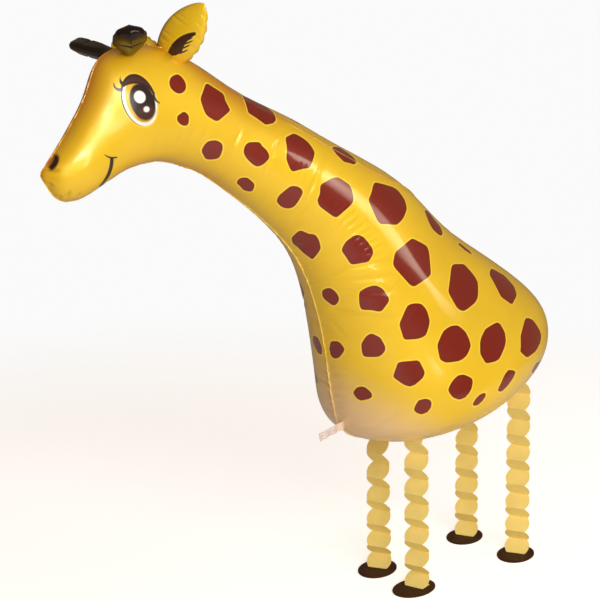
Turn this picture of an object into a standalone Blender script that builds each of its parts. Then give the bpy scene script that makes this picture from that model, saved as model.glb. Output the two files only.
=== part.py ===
"""A giraffe foil balloon that stands on four folded card legs.

One foil envelope makes the head, neck and body. Two small horns and two ears, each an
inflated pillow, sit on the head, and a flat filler tail leaves the bottom front corner.
Each leg is a scalloped card strip folded in pleats, glued under the belly at its top and
on an oval card foot at its bottom. The giraffe faces -X, its left side faces -Y, and the
feet stand on z = 0. Units are metres, and the outline is in thousandths of the height.
"""

import math

import bmesh
import bpy
import numpy as np
from mathutils import Matrix, Vector
from mathutils.bvhtree import BVHTree

# Driving sizes
STANDING_HEIGHT = 0.87  # floor to the tip of the raised ear
THOUSANDTH = STANDING_HEIGHT / 1000
GLUE_GAP = 0.0003  # between pieces that touch

# Foil envelope: pairs of points across it from the nose to the rump, one on its upper edge
# and one on its lower edge, with its half thickness as a share of half their distance, and
# how far the thickest place lies towards the lower edge
ENVELOPE_RUNGS = (
    # upper x, z, lower x, z, fullness, sag
    (-527, 762, -527, 762, 0.85, 0.00),  # nose tip
    (-522, 772, -519, 749, 0.85, 0.00),
    (-510, 786, -507, 733, 0.78, 0.00),  # nostrils
    (-489, 812, -483, 726, 0.70, 0.00),
    (-473, 835, -457, 732, 0.62, 0.00),
    (-458, 859, -425, 748, 0.57, 0.00),  # bridge of the nose to the mouth
    (-445, 888, -389, 765, 0.53, 0.00),
    (-424, 922, -359, 772, 0.51, 0.00),  # forehead to the jaw
    (-382, 935, -339, 774, 0.51, 0.00),  # horns
    (-330, 934, -318, 772, 0.53, 0.00),
    (-272, 914, -293, 765, 0.60, 0.00),  # ears to the throat
    (-226, 889, -264, 755, 0.69, 0.00),
    (-174, 863, -226, 734, 0.77, 0.00),
    (-98, 833, -172, 699, 0.79, 0.00),
    (-8, 792, -112, 653, 0.76, 0.00),  # middle of the neck
    (89, 749, -57, 592, 0.72, 0.05),
    (174, 700, -19, 507, 0.69, 0.10),  # shoulders to the breast
    (254, 637, 5, 422, 0.69, 0.12),
    (353, 579, 25, 350, 0.70, 0.14),
    (437, 530, 61, 288, 0.74, 0.15),  # back to the front corner of the belly
    (493, 489, 160, 267, 0.77, 0.15),
    (521, 452, 282, 281, 0.79, 0.12),  # rump to the belly
    (527, 418, 380, 317, 0.88, 0.08),
    (518, 396, 452, 352, 1.02, 0.02),
    (500, 376, 500, 376, 1.10, 0.00),  # tail end
)
ENVELOPE_SECTIONS = 58
ENVELOPE_SIDES = 32

# Ears: inflated leaves, placed by the middle of the base, the tip and the way the inside faces
EAR_WIDTH = 0.053
EAR_DEPTH = 0.016
EARS = {
    "ear_left": ((-318, -6, 920), (-294, -66, 998), (-0.72, -0.66, 0.05)),
    "ear_right": ((-330, 8, 912), (-356, 82, 944), (-0.85, -0.10, 0.50)),
}

# Horns: inflated pads on narrow stems, placed by base and tip
HORN_WIDTH = 0.041
HORN_DEPTH = 0.022
HORN_STEM = 0.26  # share of the width at the stem
HORNS = {
    "horn_left": ((-383, -5, 924), (-430, -78, 959), (0.0, 0.2, 1.0)),
    "horn_right": ((-386, 6, 920), (-420, 86, 941), (0.0, -0.1, 1.0)),
}
PAD_SECTIONS = 14
PAD_SIDES = 16

# Card legs
CARD = 0.0008
STRIP_WIDTH = 0.040  # across a scallop
FOLD_WIDTH = 0.030  # along a fold
FACE_LENGTH = 0.027  # from one fold to the next
PLEAT_DROP = 0.021  # height that one face takes in a leg of middling length
PLEAT_STRETCH = 0.10  # how much more the top pleats open, as a share, and the bottom ones less
LEG_LEAN = 0.007  # how far forward of its foot a leg ends at the belly
TAB_LENGTH = 0.022
BELLY_GLUE = 0.0008  # pad of glue under the belly, where the card bridges the curve
FOLD_ROOM = 0.001  # how far the top fold hangs below the tab
FACE_ROWS = 3

# Card feet
FOOT_LENGTH = 0.084
FOOT_WIDTH = 0.058
FOOT_CARD = 0.0016
FOOT_CORNERS = 40

# Each leg: middle of its foot in thousandths, then how far the foot, the bottom of the strip
# and its top face towards the giraffe's left, in degrees
LEGS = {
    "front_left": (161, -54, 13, 16, 12),
    "front_right": (177, 54, 25, 29, 2),
    "hind_left": (425, -64, 23, 27, 10),
    "hind_right": (424, 63, 23, 25, 8),
}

# Filler tail
TAIL_LENGTH = 0.052
TAIL_WIDTH = 0.0135
TAIL_FILM = 0.0006
TAIL_ROOT_HEIGHT = 310 * THOUSANDTH
TAIL_SLOPE = math.radians(13)  # below level, pointing forwards
TAIL_CURL = 0.002

# Finishes: colour, roughness, metallic
FOIL_YELLOW = (0.83, 0.58, 0.06, 1)
FOIL_DARK = (0.05, 0.02, 0.01, 1)
CARD_YELLOW = (0.80, 0.62, 0.20, 1)
CARD_BROWN = (0.045, 0.016, 0.006, 1)
FILM_CLEAR = (0.80, 0.70, 0.60, 1)


def closed_spline(knots, period, points, at):
    """A smooth closed curve through the points, one at each knot."""
    count = len(knots)
    steps = np.diff(np.append(knots, knots[0] + period))
    slopes = (np.roll(points, -1, axis=0) - points) / steps[:, None]
    matrix = np.zeros((count, count))
    for i in range(count):
        matrix[i, i - 1] += steps[i - 1]
        matrix[i, i] += 2 * (steps[i - 1] + steps[i])
        matrix[i, (i + 1) % count] += steps[i]
    bends = np.linalg.solve(matrix, 6 * (slopes - np.roll(slopes, 1, axis=0)))
    at = np.mod(at, period)
    i = np.clip(np.searchsorted(knots, at, side="right") - 1, 0, count - 1)
    j = (i + 1) % count
    step = steps[i][:, None]
    after = at[:, None] - knots[i][:, None]
    before = step - after
    curve = (bends[i] * before**3 + bends[j] * after**3) / (6 * step)
    curve += (points[i] / step - bends[i] * step / 6) * before
    curve += (points[j] / step - bends[j] * step / 6) * after
    return curve


def open_spline(knots, values, at):
    """A smooth open curve of one value through the knots."""
    count = len(knots)
    steps = np.diff(knots)
    slopes = np.diff(values) / steps
    matrix = np.eye(count)
    right = np.zeros(count)
    for i in range(1, count - 1):
        matrix[i, i - 1] = steps[i - 1]
        matrix[i, i] = 2 * (steps[i - 1] + steps[i])
        matrix[i, i + 1] = steps[i]
        right[i] = 6 * (slopes[i] - slopes[i - 1])
    bends = np.linalg.solve(matrix, right)
    i = np.clip(np.searchsorted(knots, at, side="right") - 1, 0, count - 2)
    step = steps[i]
    after = at - knots[i]
    before = step - after
    curve = (bends[i] * before**3 + bends[i + 1] * after**3) / (6 * step)
    curve += (values[i] / step - bends[i] * step / 6) * before
    curve += (values[i + 1] / step - bends[i + 1] * step / 6) * after
    return curve


def envelope_points(sections, sides):
    """The envelope's surface: rungs from its upper to its lower edge, each an oval across."""
    rungs = np.array(ENVELOPE_RUNGS)
    upper = rungs[:, 0:2] * THOUSANDTH
    lower = rungs[:, 2:4] * THOUSANDTH
    strides = (
        np.linalg.norm(np.diff(upper, axis=0), axis=1)
        + np.linalg.norm(np.diff(lower, axis=0), axis=1)
    ) / 2
    knots = np.concatenate([[0], np.cumsum(strides)])
    period = 2 * knots[-1]
    loop_knots = np.concatenate([knots, period - knots[-2:0:-1]])
    loop = np.vstack([upper, lower[-2:0:-1]])
    even = np.linspace(0, 1, sections + 1)
    rounded = (1 - np.cos(math.pi * even)) / 2
    at = (even + rounded) / 2 * knots[-1]
    top = closed_spline(loop_knots, period, loop, at)
    bottom = closed_spline(loop_knots, period, loop, period - at)
    middle = (top + bottom) / 2
    reach = (top - bottom) / 2
    fullness = open_spline(knots, rungs[:, 4], at)
    sag = open_spline(knots, rungs[:, 5], at)
    half = fullness * np.linalg.norm(reach, axis=1)
    turn = np.linspace(0, 2 * math.pi, sides, endpoint=False)
    points = np.zeros((sections + 1, sides, 3))
    points[..., 0] = middle[:, None, 0] + reach[:, None, 0] * np.cos(turn)
    points[..., 2] = middle[:, None, 1] + reach[:, None, 1] * np.cos(turn)
    points[..., 1] = -half[:, None] * np.sin(turn) * (1 - sag[:, None] * np.cos(turn))
    return points


def loft(name, rings, start, end):
    """A closed body from rings of points, closed to one point at each end."""
    count, sides = rings.shape[:2]
    points = [tuple(p) for ring in rings for p in ring] + [tuple(start), tuple(end)]
    faces = []
    for i in range(count - 1):
        for j in range(sides):
            k = (j + 1) % sides
            faces.append((i * sides + j, i * sides + k, (i + 1) * sides + k, (i + 1) * sides + j))
    last = (count - 1) * sides
    for j in range(sides):
        k = (j + 1) % sides
        faces.append((j, count * sides, k))
        faces.append((last + k, count * sides + 1, last + j))
    return mesh_object(name, points, faces)


def mesh_object(name, points, faces):
    mesh = bpy.data.meshes.new(name)
    mesh.from_pydata(points, [], faces)
    build = bmesh.new()
    build.from_mesh(mesh)
    bmesh.ops.recalc_face_normals(build, faces=build.faces)
    build.to_mesh(mesh)
    build.free()
    mesh.shade_smooth()
    piece = bpy.data.objects.new(name, mesh)
    giraffe.objects.link(piece)
    return piece


def finish(piece, label, colour, roughness, metallic=0.0):
    material = bpy.data.materials.new(label)
    material.use_nodes = True
    shader = material.node_tree.nodes["Principled BSDF"]
    shader.inputs["Base Color"].default_value = colour
    shader.inputs["Roughness"].default_value = roughness
    shader.inputs["Metallic"].default_value = metallic
    material.diffuse_color = colour
    piece.data.materials.append(material)


def make_envelope():
    points = envelope_points(ENVELOPE_SECTIONS, ENVELOPE_SIDES)
    piece = loft("balloon_body", points[1:-1], points[0, 0], points[-1, 0])
    finish(piece, "printed foil", FOIL_YELLOW, 0.28, 0.2)
    return piece


def swollen(envelope):
    """The envelope grown by the gap, which cuts the seats of what sits on it."""
    cutter = envelope.copy()
    cutter.data = envelope.data.copy()
    cutter.name = "seat_cutter"
    grow = cutter.modifiers.new("grow", "DISPLACE")
    grow.strength = GLUE_GAP
    grow.mid_level = 0
    cutter.hide_render = True
    cutter.display_type = "WIRE"
    cutters.objects.link(cutter)
    return cutter


def ear_outline(s):
    """Half width and half depth along an ear: a leaf, cut off at its base, with a pointed tip."""
    swell = np.sin(math.pi * (0.18 + 0.82 * s))
    return EAR_WIDTH / 2 * swell**0.65, EAR_DEPTH / 2 * swell**0.7


def horn_outline(s):
    """Half width and half depth along a horn: a stem that swells into a rounded pad."""
    rise = np.clip(s / 0.55, 0, 1)
    swell = HORN_STEM + (1 - HORN_STEM) * rise**2 * (3 - 2 * rise)
    end = np.sqrt(np.clip(1 - np.clip((s - 0.5) / 0.5, 0, 1) ** 4, 0, 1))
    return HORN_WIDTH / 2 * swell * end, HORN_DEPTH / 2 * np.sqrt(swell) * end


def pillow(name, base, tip, facing, outline, seat):
    """Two foil sheets sealed round their edge and inflated, cut to sit on the head."""
    base = Vector(base) * THOUSANDTH
    tip = Vector(tip) * THOUSANDTH
    along = (tip - base).normalized()
    across = Vector(facing).cross(along).normalized()
    outwards = along.cross(across)
    even = np.linspace(0, 1, PAD_SECTIONS + 1)
    s = (even + np.sin(math.pi / 2 * even)) / 2
    width, depth = outline(s)
    turn = np.linspace(0, 2 * math.pi, PAD_SIDES, endpoint=False)
    bulge = np.sign(np.sin(turn)) * np.abs(np.sin(turn)) ** 1.2
    rings = (
        np.array(base)
        + s[:, None, None] * np.array(tip - base)
        + width[:, None, None] * np.cos(turn)[None, :, None] * np.array(across)
        + depth[:, None, None] * bulge[None, :, None] * np.array(outwards)
    )
    piece = loft(name, rings[:-1], base, tip)
    cut = piece.modifiers.new("seat", "BOOLEAN")
    cut.operation = "DIFFERENCE"
    cut.object = seat
    return piece


def ribbon(name, rows, thickness):
    """A strip of card or film through rows of points, with its real thickness."""
    count, across = rows.shape[:2]
    points = [tuple(p) for row in rows for p in row]
    faces = []
    for i in range(count - 1):
        for j in range(across - 1):
            a = i * across + j
            faces.append((a, a + 1, a + across + 1, a + across))
    mesh = bpy.data.meshes.new(name)
    mesh.from_pydata(points, [], faces)
    piece = bpy.data.objects.new(name, mesh)
    giraffe.objects.link(piece)
    wall = piece.modifiers.new("thickness", "SOLIDIFY")
    wall.thickness = thickness
    wall.offset = 0
    wall.use_even_offset = True
    return piece


def facing(degrees):
    """The level direction in which a strip faces, turned from straight ahead to the left."""
    turn = math.radians(degrees)
    return Vector((-math.cos(turn), -math.sin(turn), 0))


def belly_above(tree, spot):
    """The height under the belly over a spot, less the room for glue and half a card."""
    hit, normal, _, _ = tree.ray_cast(Vector((spot.x, spot.y, 0)), Vector((0, 0, 1)))
    return hit.z - (BELLY_GLUE + CARD / 2) / abs(normal.z)


def leg_rows(tree, foot_x, foot_y, turn_low, turn_high):
    """Rows across a leg's strip: a tab along the belly, the pleats, and a tab on the foot."""
    foot = Vector((foot_x, foot_y, 0)) * THOUSANDTH
    low = FOOT_CARD + GLUE_GAP + CARD / 2

    def row(spot, forward, half_width, height=None):
        across = Vector((-forward.y, forward.x, 0))
        points = [spot + across * half_width * side for side in (-1, -0.5, 0, 0.5, 1)]
        for point in points:
            point.z = belly_above(tree, point) if height is None else height
        return [tuple(point) for point in points]

    def tab(fold, forward, height=None):
        steps = [TAB_LENGTH * i / FACE_ROWS for i in range(1, FACE_ROWS + 1)]
        return [row(fold - forward * step, forward, FOLD_WIDTH / 2, height) for step in steps]

    def swing(drop):
        return math.sqrt(max(FACE_LENGTH**2 - drop**2, 0))

    lean = Vector((-LEG_LEAN, 0, 0))
    reach = belly_above(tree, foot + lean) - low
    faces = 2 * round(reach / (2 * PLEAT_DROP))
    drop = reach / faces
    bottom_swing = swing(drop * (1 - PLEAT_STRETCH))
    middle = foot - facing(turn_low) * bottom_swing / 2

    forward = facing(turn_high)
    top = middle + lean + forward * swing(drop * (1 + PLEAT_STRETCH)) / 2
    fold = row(top, forward, FOLD_WIDTH / 2)
    high = min(height for _, _, height in fold) - FOLD_ROOM
    rows = tab(top, forward)[::-1] + [[(x, y, high) for x, y, _ in fold]]
    for i in range(1, faces * FACE_ROWS + 1):
        share = i / (faces * FACE_ROWS)
        face, within = divmod(i, FACE_ROWS)
        within /= FACE_ROWS
        forwards = 1 - 2 * within if face % 2 == 0 else 2 * within - 1
        forward = facing(turn_high + (turn_low - turn_high) * share)
        stretch = 1 + PLEAT_STRETCH * (1 - 2 * share)
        fallen = share + PLEAT_STRETCH * (share - share**2)
        scallop = math.sin(math.pi * within) ** 0.8 if within else 0
        half_width = (FOLD_WIDTH + (STRIP_WIDTH - FOLD_WIDTH) * scallop) / 2
        spot = middle + lean * (1 - share) + forward * forwards * swing(drop * stretch) / 2
        rows.append(row(spot, forward, half_width, high + (low - high) * fallen))
    return np.array(rows + tab(spot, forward, low))


def make_leg(name, tree, foot_x, foot_y, turn_low, turn_high):
    piece = ribbon("leg_" + name, leg_rows(tree, foot_x, foot_y, turn_low, turn_high), CARD)
    finish(piece, "pale yellow card", CARD_YELLOW, 0.6)


def make_foot(name, foot_x, foot_y, turn_foot):
    mesh = bpy.data.meshes.new("foot_" + name)
    build = bmesh.new()
    bmesh.ops.create_cone(
        build,
        cap_ends=True,
        segments=FOOT_CORNERS,
        radius1=0.5,
        radius2=0.5,
        depth=1,
        matrix=Matrix.Diagonal((FOOT_LENGTH, FOOT_WIDTH, FOOT_CARD, 1)),
    )
    build.to_mesh(mesh)
    build.free()
    piece = bpy.data.objects.new("foot_" + name, mesh)
    piece.location = (foot_x * THOUSANDTH, foot_y * THOUSANDTH, FOOT_CARD / 2)
    piece.rotation_euler = (0, 0, math.radians(turn_foot))
    giraffe.objects.link(piece)
    finish(piece, "dark brown card", CARD_BROWN, 0.55)


def make_tail(tree):
    """The flat filler tail, in the plane of the seam, which starts at the envelope."""
    along = Vector((-math.cos(TAIL_SLOPE), 0, -math.sin(TAIL_SLOPE)))
    across = Vector((math.sin(TAIL_SLOPE), 0, -math.cos(TAIL_SLOPE)))
    root, _, _, _ = tree.ray_cast(Vector((-1, 0, TAIL_ROOT_HEIGHT)), Vector((1, 0, 0)))
    columns = []
    for side in (-1, 0, 1):
        far = root + across * side * TAIL_WIDTH / 2 + along * TAIL_LENGTH
        start, _, _, _ = tree.ray_cast(far, -along)
        start += along * (GLUE_GAP + TAIL_FILM)
        column = []
        for i in range(7):
            share = i / 6
            point = start.lerp(far, share)
            point.y = TAIL_CURL * math.sin(2 * math.pi * share) * share
            column.append(tuple(point))
        columns.append(column)
    rows = np.array(columns).transpose(1, 0, 2)
    piece = ribbon("filler_tail", rows, TAIL_FILM)
    finish(piece, "clear film", FILM_CLEAR, 0.3)


for old in list(bpy.data.objects):
    bpy.data.objects.remove(old, do_unlink=True)
giraffe = bpy.data.collections.new("giraffe_foil_balloon")
cutters = bpy.data.collections.new("cutters")
bpy.context.scene.collection.children.link(giraffe)
bpy.context.scene.collection.children.link(cutters)

body = make_envelope()
seat_cutter = swollen(body)
body_tree = BVHTree.FromPolygons(
    [v.co for v in body.data.vertices], [list(p.vertices) for p in body.data.polygons]
)
for ear, (ear_base, ear_tip, ear_facing) in EARS.items():
    finish(
        pillow(ear, ear_base, ear_tip, ear_facing, ear_outline, seat_cutter),
        "printed foil",
        FOIL_YELLOW,
        0.28,
        0.2,
    )
for horn, (horn_base, horn_tip, horn_facing) in HORNS.items():
    finish(
        pillow(horn, horn_base, horn_tip, horn_facing, horn_outline, seat_cutter),
        "dark foil",
        FOIL_DARK,
        0.3,
        0.2,
    )
for leg, (foot_x, foot_y, turn_foot, turn_low, turn_high) in LEGS.items():
    make_leg(leg, body_tree, foot_x, foot_y, turn_low, turn_high)
    make_foot(leg, foot_x, foot_y, turn_foot)
make_tail(body_tree)
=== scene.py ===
"""A giraffe foil balloon on four folded card legs, dressed over its measured solids.

The head, neck and body are one envelope of printed metallised foil, welded round its edge.
Its print was drawn once for both sheets, so the far side mirrors the near one. Two foil
ears, two foil horns, a clear filler tail, four pleated card legs and four card feet go with
it. The giraffe faces -X, its left side faces -Y and its feet stand on z = 0, in metres.
"""

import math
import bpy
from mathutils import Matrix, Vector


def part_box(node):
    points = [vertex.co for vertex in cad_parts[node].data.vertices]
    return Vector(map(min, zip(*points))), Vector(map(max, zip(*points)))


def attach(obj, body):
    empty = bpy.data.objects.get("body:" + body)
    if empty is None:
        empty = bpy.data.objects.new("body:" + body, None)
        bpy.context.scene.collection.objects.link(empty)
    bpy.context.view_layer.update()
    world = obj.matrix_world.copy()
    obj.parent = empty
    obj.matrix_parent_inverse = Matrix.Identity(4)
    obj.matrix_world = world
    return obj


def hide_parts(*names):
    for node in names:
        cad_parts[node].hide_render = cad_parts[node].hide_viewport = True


bl_info = {
    "name": "Giraffe Foil Balloon",
    "version": (1, 0, 0),
    "blender": (4, 5, 0),
    "location": "View3D > Sidebar > Giraffe Balloon",
    "description": "Builds a printed foil giraffe balloon that stands on folded card legs",
    "category": "Object",
}

import bpy
import numpy as np
from bpy.props import FloatProperty, FloatVectorProperty, PointerProperty
from mathutils import Matrix, Vector
from mathutils.bvhtree import BVHTree

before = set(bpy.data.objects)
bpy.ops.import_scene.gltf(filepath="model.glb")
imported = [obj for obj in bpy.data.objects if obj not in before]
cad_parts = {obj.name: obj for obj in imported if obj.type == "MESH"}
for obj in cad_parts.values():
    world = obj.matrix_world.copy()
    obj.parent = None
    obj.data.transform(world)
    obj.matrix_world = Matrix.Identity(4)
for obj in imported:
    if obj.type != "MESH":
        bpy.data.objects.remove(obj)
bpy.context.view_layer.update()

# ---------------------------------------------------------------- sizes of the solids
STANDING_HEIGHT = 0.87
THOUSANDTH = STANDING_HEIGHT / 1000
GLUE_GAP = 0.0003

ENVELOPE_RUNGS = (
    # upper x, z, lower x, z, fullness, sag
    (-527, 762, -527, 762, 0.85, 0.00),  # nose tip
    (-522, 772, -519, 749, 0.85, 0.00),
    (-510, 786, -507, 733, 0.78, 0.00),  # nostrils
    (-489, 812, -483, 726, 0.70, 0.00),
    (-473, 835, -457, 732, 0.62, 0.00),
    (-458, 859, -425, 748, 0.57, 0.00),  # bridge of the nose to the mouth
    (-445, 888, -389, 765, 0.53, 0.00),
    (-424, 922, -359, 772, 0.51, 0.00),  # forehead to the jaw
    (-382, 935, -339, 774, 0.51, 0.00),  # horns
    (-330, 934, -318, 772, 0.53, 0.00),
    (-272, 914, -293, 765, 0.60, 0.00),  # ears to the throat
    (-226, 889, -264, 755, 0.69, 0.00),
    (-174, 863, -226, 734, 0.77, 0.00),
    (-98, 833, -172, 699, 0.79, 0.00),
    (-8, 792, -112, 653, 0.76, 0.00),  # middle of the neck
    (89, 749, -57, 592, 0.72, 0.05),
    (174, 700, -19, 507, 0.69, 0.10),  # shoulders to the breast
    (254, 637, 5, 422, 0.69, 0.12),
    (353, 579, 25, 350, 0.70, 0.14),
    (437, 530, 61, 288, 0.74, 0.15),  # back to the front corner of the belly
    (493, 489, 160, 267, 0.77, 0.15),
    (521, 452, 282, 281, 0.79, 0.12),  # rump to the belly
    (527, 418, 380, 317, 0.88, 0.08),
    (518, 396, 452, 352, 1.02, 0.02),
    (500, 376, 500, 376, 1.10, 0.00),  # tail end
)
EAR_WIDTH, EAR_DEPTH = 0.053, 0.016
EARS = {
    # base, tip in thousandths, direction it faces
    "ear_left": ((-318, -6, 920), (-294, -66, 998), (-0.72, -0.66, 0.05)),
    "ear_right": ((-330, 8, 912), (-356, 82, 944), (-0.85, -0.10, 0.50)),
}
HORN_WIDTH, HORN_DEPTH, HORN_STEM = 0.041, 0.022, 0.26
HORNS = {
    "horn_left": ((-383, -5, 924), (-430, -78, 959), (0.0, 0.2, 1.0)),
    "horn_right": ((-386, 6, 920), (-420, 86, 941), (0.0, -0.1, 1.0)),
}
CARD, STRIP_WIDTH, FOLD_WIDTH, FACE_LENGTH = 0.0008, 0.040, 0.030, 0.027
PLEAT_DROP, PLEAT_STRETCH, LEG_LEAN, TAB_LENGTH = 0.021, 0.10, 0.007, 0.022
BELLY_GLUE, FOLD_ROOM = 0.0008, 0.001
FOOT_LENGTH, FOOT_WIDTH, FOOT_CARD = 0.084, 0.058, 0.0016
LEGS = {
    # foot x, y in thousandths, turn of the foot, of the lowest and of the highest pleat
    "front_left": (161, -54, 13, 16, 12),
    "front_right": (177, 54, 25, 29, 2),
    "hind_left": (425, -64, 23, 27, 10),
    "hind_right": (424, 63, 23, 25, 8),
}
TAIL_LENGTH, TAIL_WIDTH, TAIL_SLOPE = 0.052, 0.0135, math.radians(13)

# ---------------------------------------------------------------- fineness of the meshes
ENVELOPE_ROWS = 620  # from nose to tail end
PANEL_COLUMNS = 77  # between the two welds of one sheet
LOW_WELD = PANEL_COLUMNS + 1  # the lower weld's column; the upper one's is 0
WELD_STEPS = np.array((0.0005, 0.0025, 0.005, 0.008, 0.012))  # columns next to a weld
PAD_ROWS, PAD_SIDES = 90, 80
FACE_ROWS, STRIP_COLUMNS = 12, 9
FOOT_SIDES = 96
FILM_ROWS, FILM_COLUMNS = 49, 15

# ---------------------------------------------------------------- the eye that looks on
PICTURE = 600  # side of the picture in pixels
VIEW_ANGLE = math.radians(25)
EYE_PLACE = np.array((-1.2863, -1.4068, 0.8023))
EYE_AHEAD = np.array((0.6494, 0.7396, -0.1771))
EYE_AHEAD = EYE_AHEAD / np.linalg.norm(EYE_AHEAD)
EYE_RIGHT = np.cross(EYE_AHEAD, (0, 0, 1)) / np.linalg.norm(np.cross(EYE_AHEAD, (0, 0, 1)))
EYE_UP = np.cross(EYE_RIGHT, EYE_AHEAD)
FOCUS = PICTURE / 2 / math.tan(VIEW_ANGLE / 2)  # in pixels

# ---------------------------------------------------------------- how the foil lies
# Degrees round from the crest at which the upper weld lies, by the share of the way from nose
# to tail end: it leaves the crest of the neck for the left side
SEAM_TURNS = (
    (0, 0), (0.185, 0), (0.217, 24), (0.24, 37), (0.30, 39), (0.36, 42),
    (0.46, 40), (0.50, 36), (0.54, 20), (0.59, 0), (1, 0),
)
# The same for the lower weld, which bows to the right side on the chest
LOW_SEAM_TURNS = (
    (0, 180), (0.58, 180), (0.68, 184), (0.75, 185), (0.79, 184), (0.83, 180), (1, 180),
)
DEPTH_EASING, SEAM_EASING = 0.020, 0.012  # lengths over which depth and welds are evened out
FULL_HOLLOW = 4  # bend per metre at which a weld puckers fully
CREASE_GAIN = 1.7  # times the depths in the table
NOSE_FIN = np.array((-0.0028, 0, 0))  # how far the weld stands out of the nose
TAIL_FACING = (0.85, 0, -0.52)

# Shares of the way from nose to tail end between which a value rises, or falls
NOSE_RISE, HEAD_FALL = (0.03, 0.10), (0.36, 0.27)
TAUT_HEAD_RISE = (0.17, 0.30)
DEEP_CHEST_RISE, DEEP_CHEST_FALL = (0.55, 0.66), (0.90, 0.82)
STRAIN_RISE, STRAIN_FALL = (0.30, 0.42), (0.86, 0.74)
BELLY_RISE, BELLY_FALL = (0.70, 0.80), (0.99, 0.90)

# Printed spots of the left sheet: x and y of each corner in pixels of the picture
SPOTS = (
    (178, 74, 182, 77, 186, 83, 186, 90, 181, 94, 176, 93, 171, 89, 169, 84, 170, 78, 174, 75),
    (184, 111, 189, 115, 189, 121, 188, 125, 185, 126, 181, 125, 177, 121, 177, 116, 180, 114),
    (207, 83, 224, 94, 225, 100, 230, 109, 230, 111, 217, 122, 207, 116, 204, 111, 200, 99,
     205, 85),
    (243, 99, 246, 105, 248, 113, 253, 116, 258, 119, 263, 123, 266, 125, 274, 123, 276, 120,
     275, 117, 268, 108, 250, 97),
    (208, 141, 216, 140, 222, 143, 223, 148, 221, 155, 218, 159, 206, 160, 201, 151, 204, 145),
    (249, 142, 260, 142, 262, 146, 267, 150, 270, 157, 268, 160, 263, 165, 257, 167, 252, 164,
     246, 158, 243, 152, 245, 145),
    (294, 133, 303, 138, 309, 143, 315, 152, 310, 168, 302, 169, 293, 172, 290, 169, 286, 159,
     287, 148, 285, 138, 288, 136),
    (330, 147, 331, 148, 335, 153, 340, 158, 344, 162, 349, 163, 354, 165, 357, 162, 350, 152,
     335, 143),
    (236, 183, 239, 178, 247, 177, 255, 184, 253, 191, 249, 192, 243, 190, 240, 186),
    (290, 186, 297, 186, 302, 189, 303, 193, 298, 202, 294, 207, 288, 209, 281, 207, 276, 201,
     279, 195),
    (332, 178, 338, 177, 350, 185, 352, 190, 354, 199, 352, 204, 340, 215, 336, 218, 331, 215,
     319, 206, 317, 200, 320, 194, 320, 185, 325, 182),
    (375, 182, 393, 187, 398, 190, 405, 200, 407, 209, 403, 219, 397, 225, 380, 224, 377, 220,
     368, 200, 371, 194, 373, 185),
    (300, 230, 305, 232, 309, 234, 315, 234, 319, 240, 321, 248, 319, 252, 315, 257, 312, 260,
     308, 257, 301, 251, 293, 244, 291, 238, 296, 233),
    (355, 235, 360, 235, 365, 238, 371, 246, 374, 252, 369, 262, 362, 263, 351, 265, 346, 257,
     341, 250, 346, 241),
    (412, 238, 420, 242, 427, 246, 429, 251, 431, 274, 430, 276, 417, 285, 414, 287, 410, 285,
     394, 267, 393, 263, 395, 252),
    (424, 210, 427, 218, 430, 225, 434, 231, 439, 235, 441, 236, 443, 234, 440, 226, 434, 219,
     428, 211),
    (457, 243, 461, 247, 466, 251, 472, 255, 472, 253, 466, 248, 460, 243),
    (453, 264, 464, 264, 467, 267, 474, 275, 478, 282, 478, 298, 475, 303, 465, 311, 461, 311,
     457, 308, 448, 292, 450, 278, 451, 268),
    (491, 268, 495, 270, 504, 275, 514, 286, 517, 295, 516, 297, 512, 305, 501, 297, 489, 274),
    (528, 318, 532, 319, 536, 324, 541, 333, 541, 341, 536, 351, 527, 358, 520, 352, 521, 343,
     520, 338, 522, 330, 525, 318),
    (322, 290, 327, 288, 331, 288, 336, 292, 339, 297, 339, 301, 336, 305, 333, 306, 325, 300,
     322, 296),
    (359, 292, 367, 287, 375, 285, 382, 288, 386, 293, 390, 300, 382, 311, 380, 312, 371, 310,
     361, 310, 359, 303),
    (407, 306, 410, 304, 417, 303, 422, 304, 427, 310, 430, 321, 429, 326, 426, 336, 418, 339,
     404, 340, 399, 324),
    (450, 326, 458, 325, 466, 332, 470, 341, 471, 347, 466, 357, 460, 361, 446, 363, 440, 360,
     437, 345, 443, 331),
    (495, 323, 499, 322, 505, 332, 506, 343, 502, 354, 498, 361, 489, 363, 486, 364, 480, 354,
     480, 340, 485, 329),
    (331, 341, 339, 341, 345, 349, 343, 353, 339, 358, 334, 359, 331, 356, 329, 349, 330, 344),
    (371, 333, 380, 337, 383, 342, 386, 348, 384, 353, 379, 357, 364, 357, 362, 353, 361, 344,
     366, 336),
    (398, 362, 419, 360, 425, 372, 424, 377, 415, 385, 410, 387, 404, 385, 394, 378, 393, 376,
     397, 365),
    (353, 392, 357, 387, 364, 386, 372, 393, 372, 398, 369, 399, 359, 401, 354, 395),
    (456, 376, 463, 374, 472, 378, 473, 382, 471, 391, 464, 399, 460, 400, 453, 398, 448, 391,
     449, 386),
    (418, 400, 428, 398, 432, 402, 431, 408, 427, 413, 420, 415, 414, 411, 414, 408),
    (472, 405, 475, 399, 480, 394, 486, 392, 486, 396, 481, 403, 475, 407),
    (497, 391, 503, 378, 507, 370, 514, 370, 516, 373, 510, 383, 502, 392),
    (531, 372, 536, 363, 543, 358, 545, 360, 540, 368, 534, 374),
)

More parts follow.
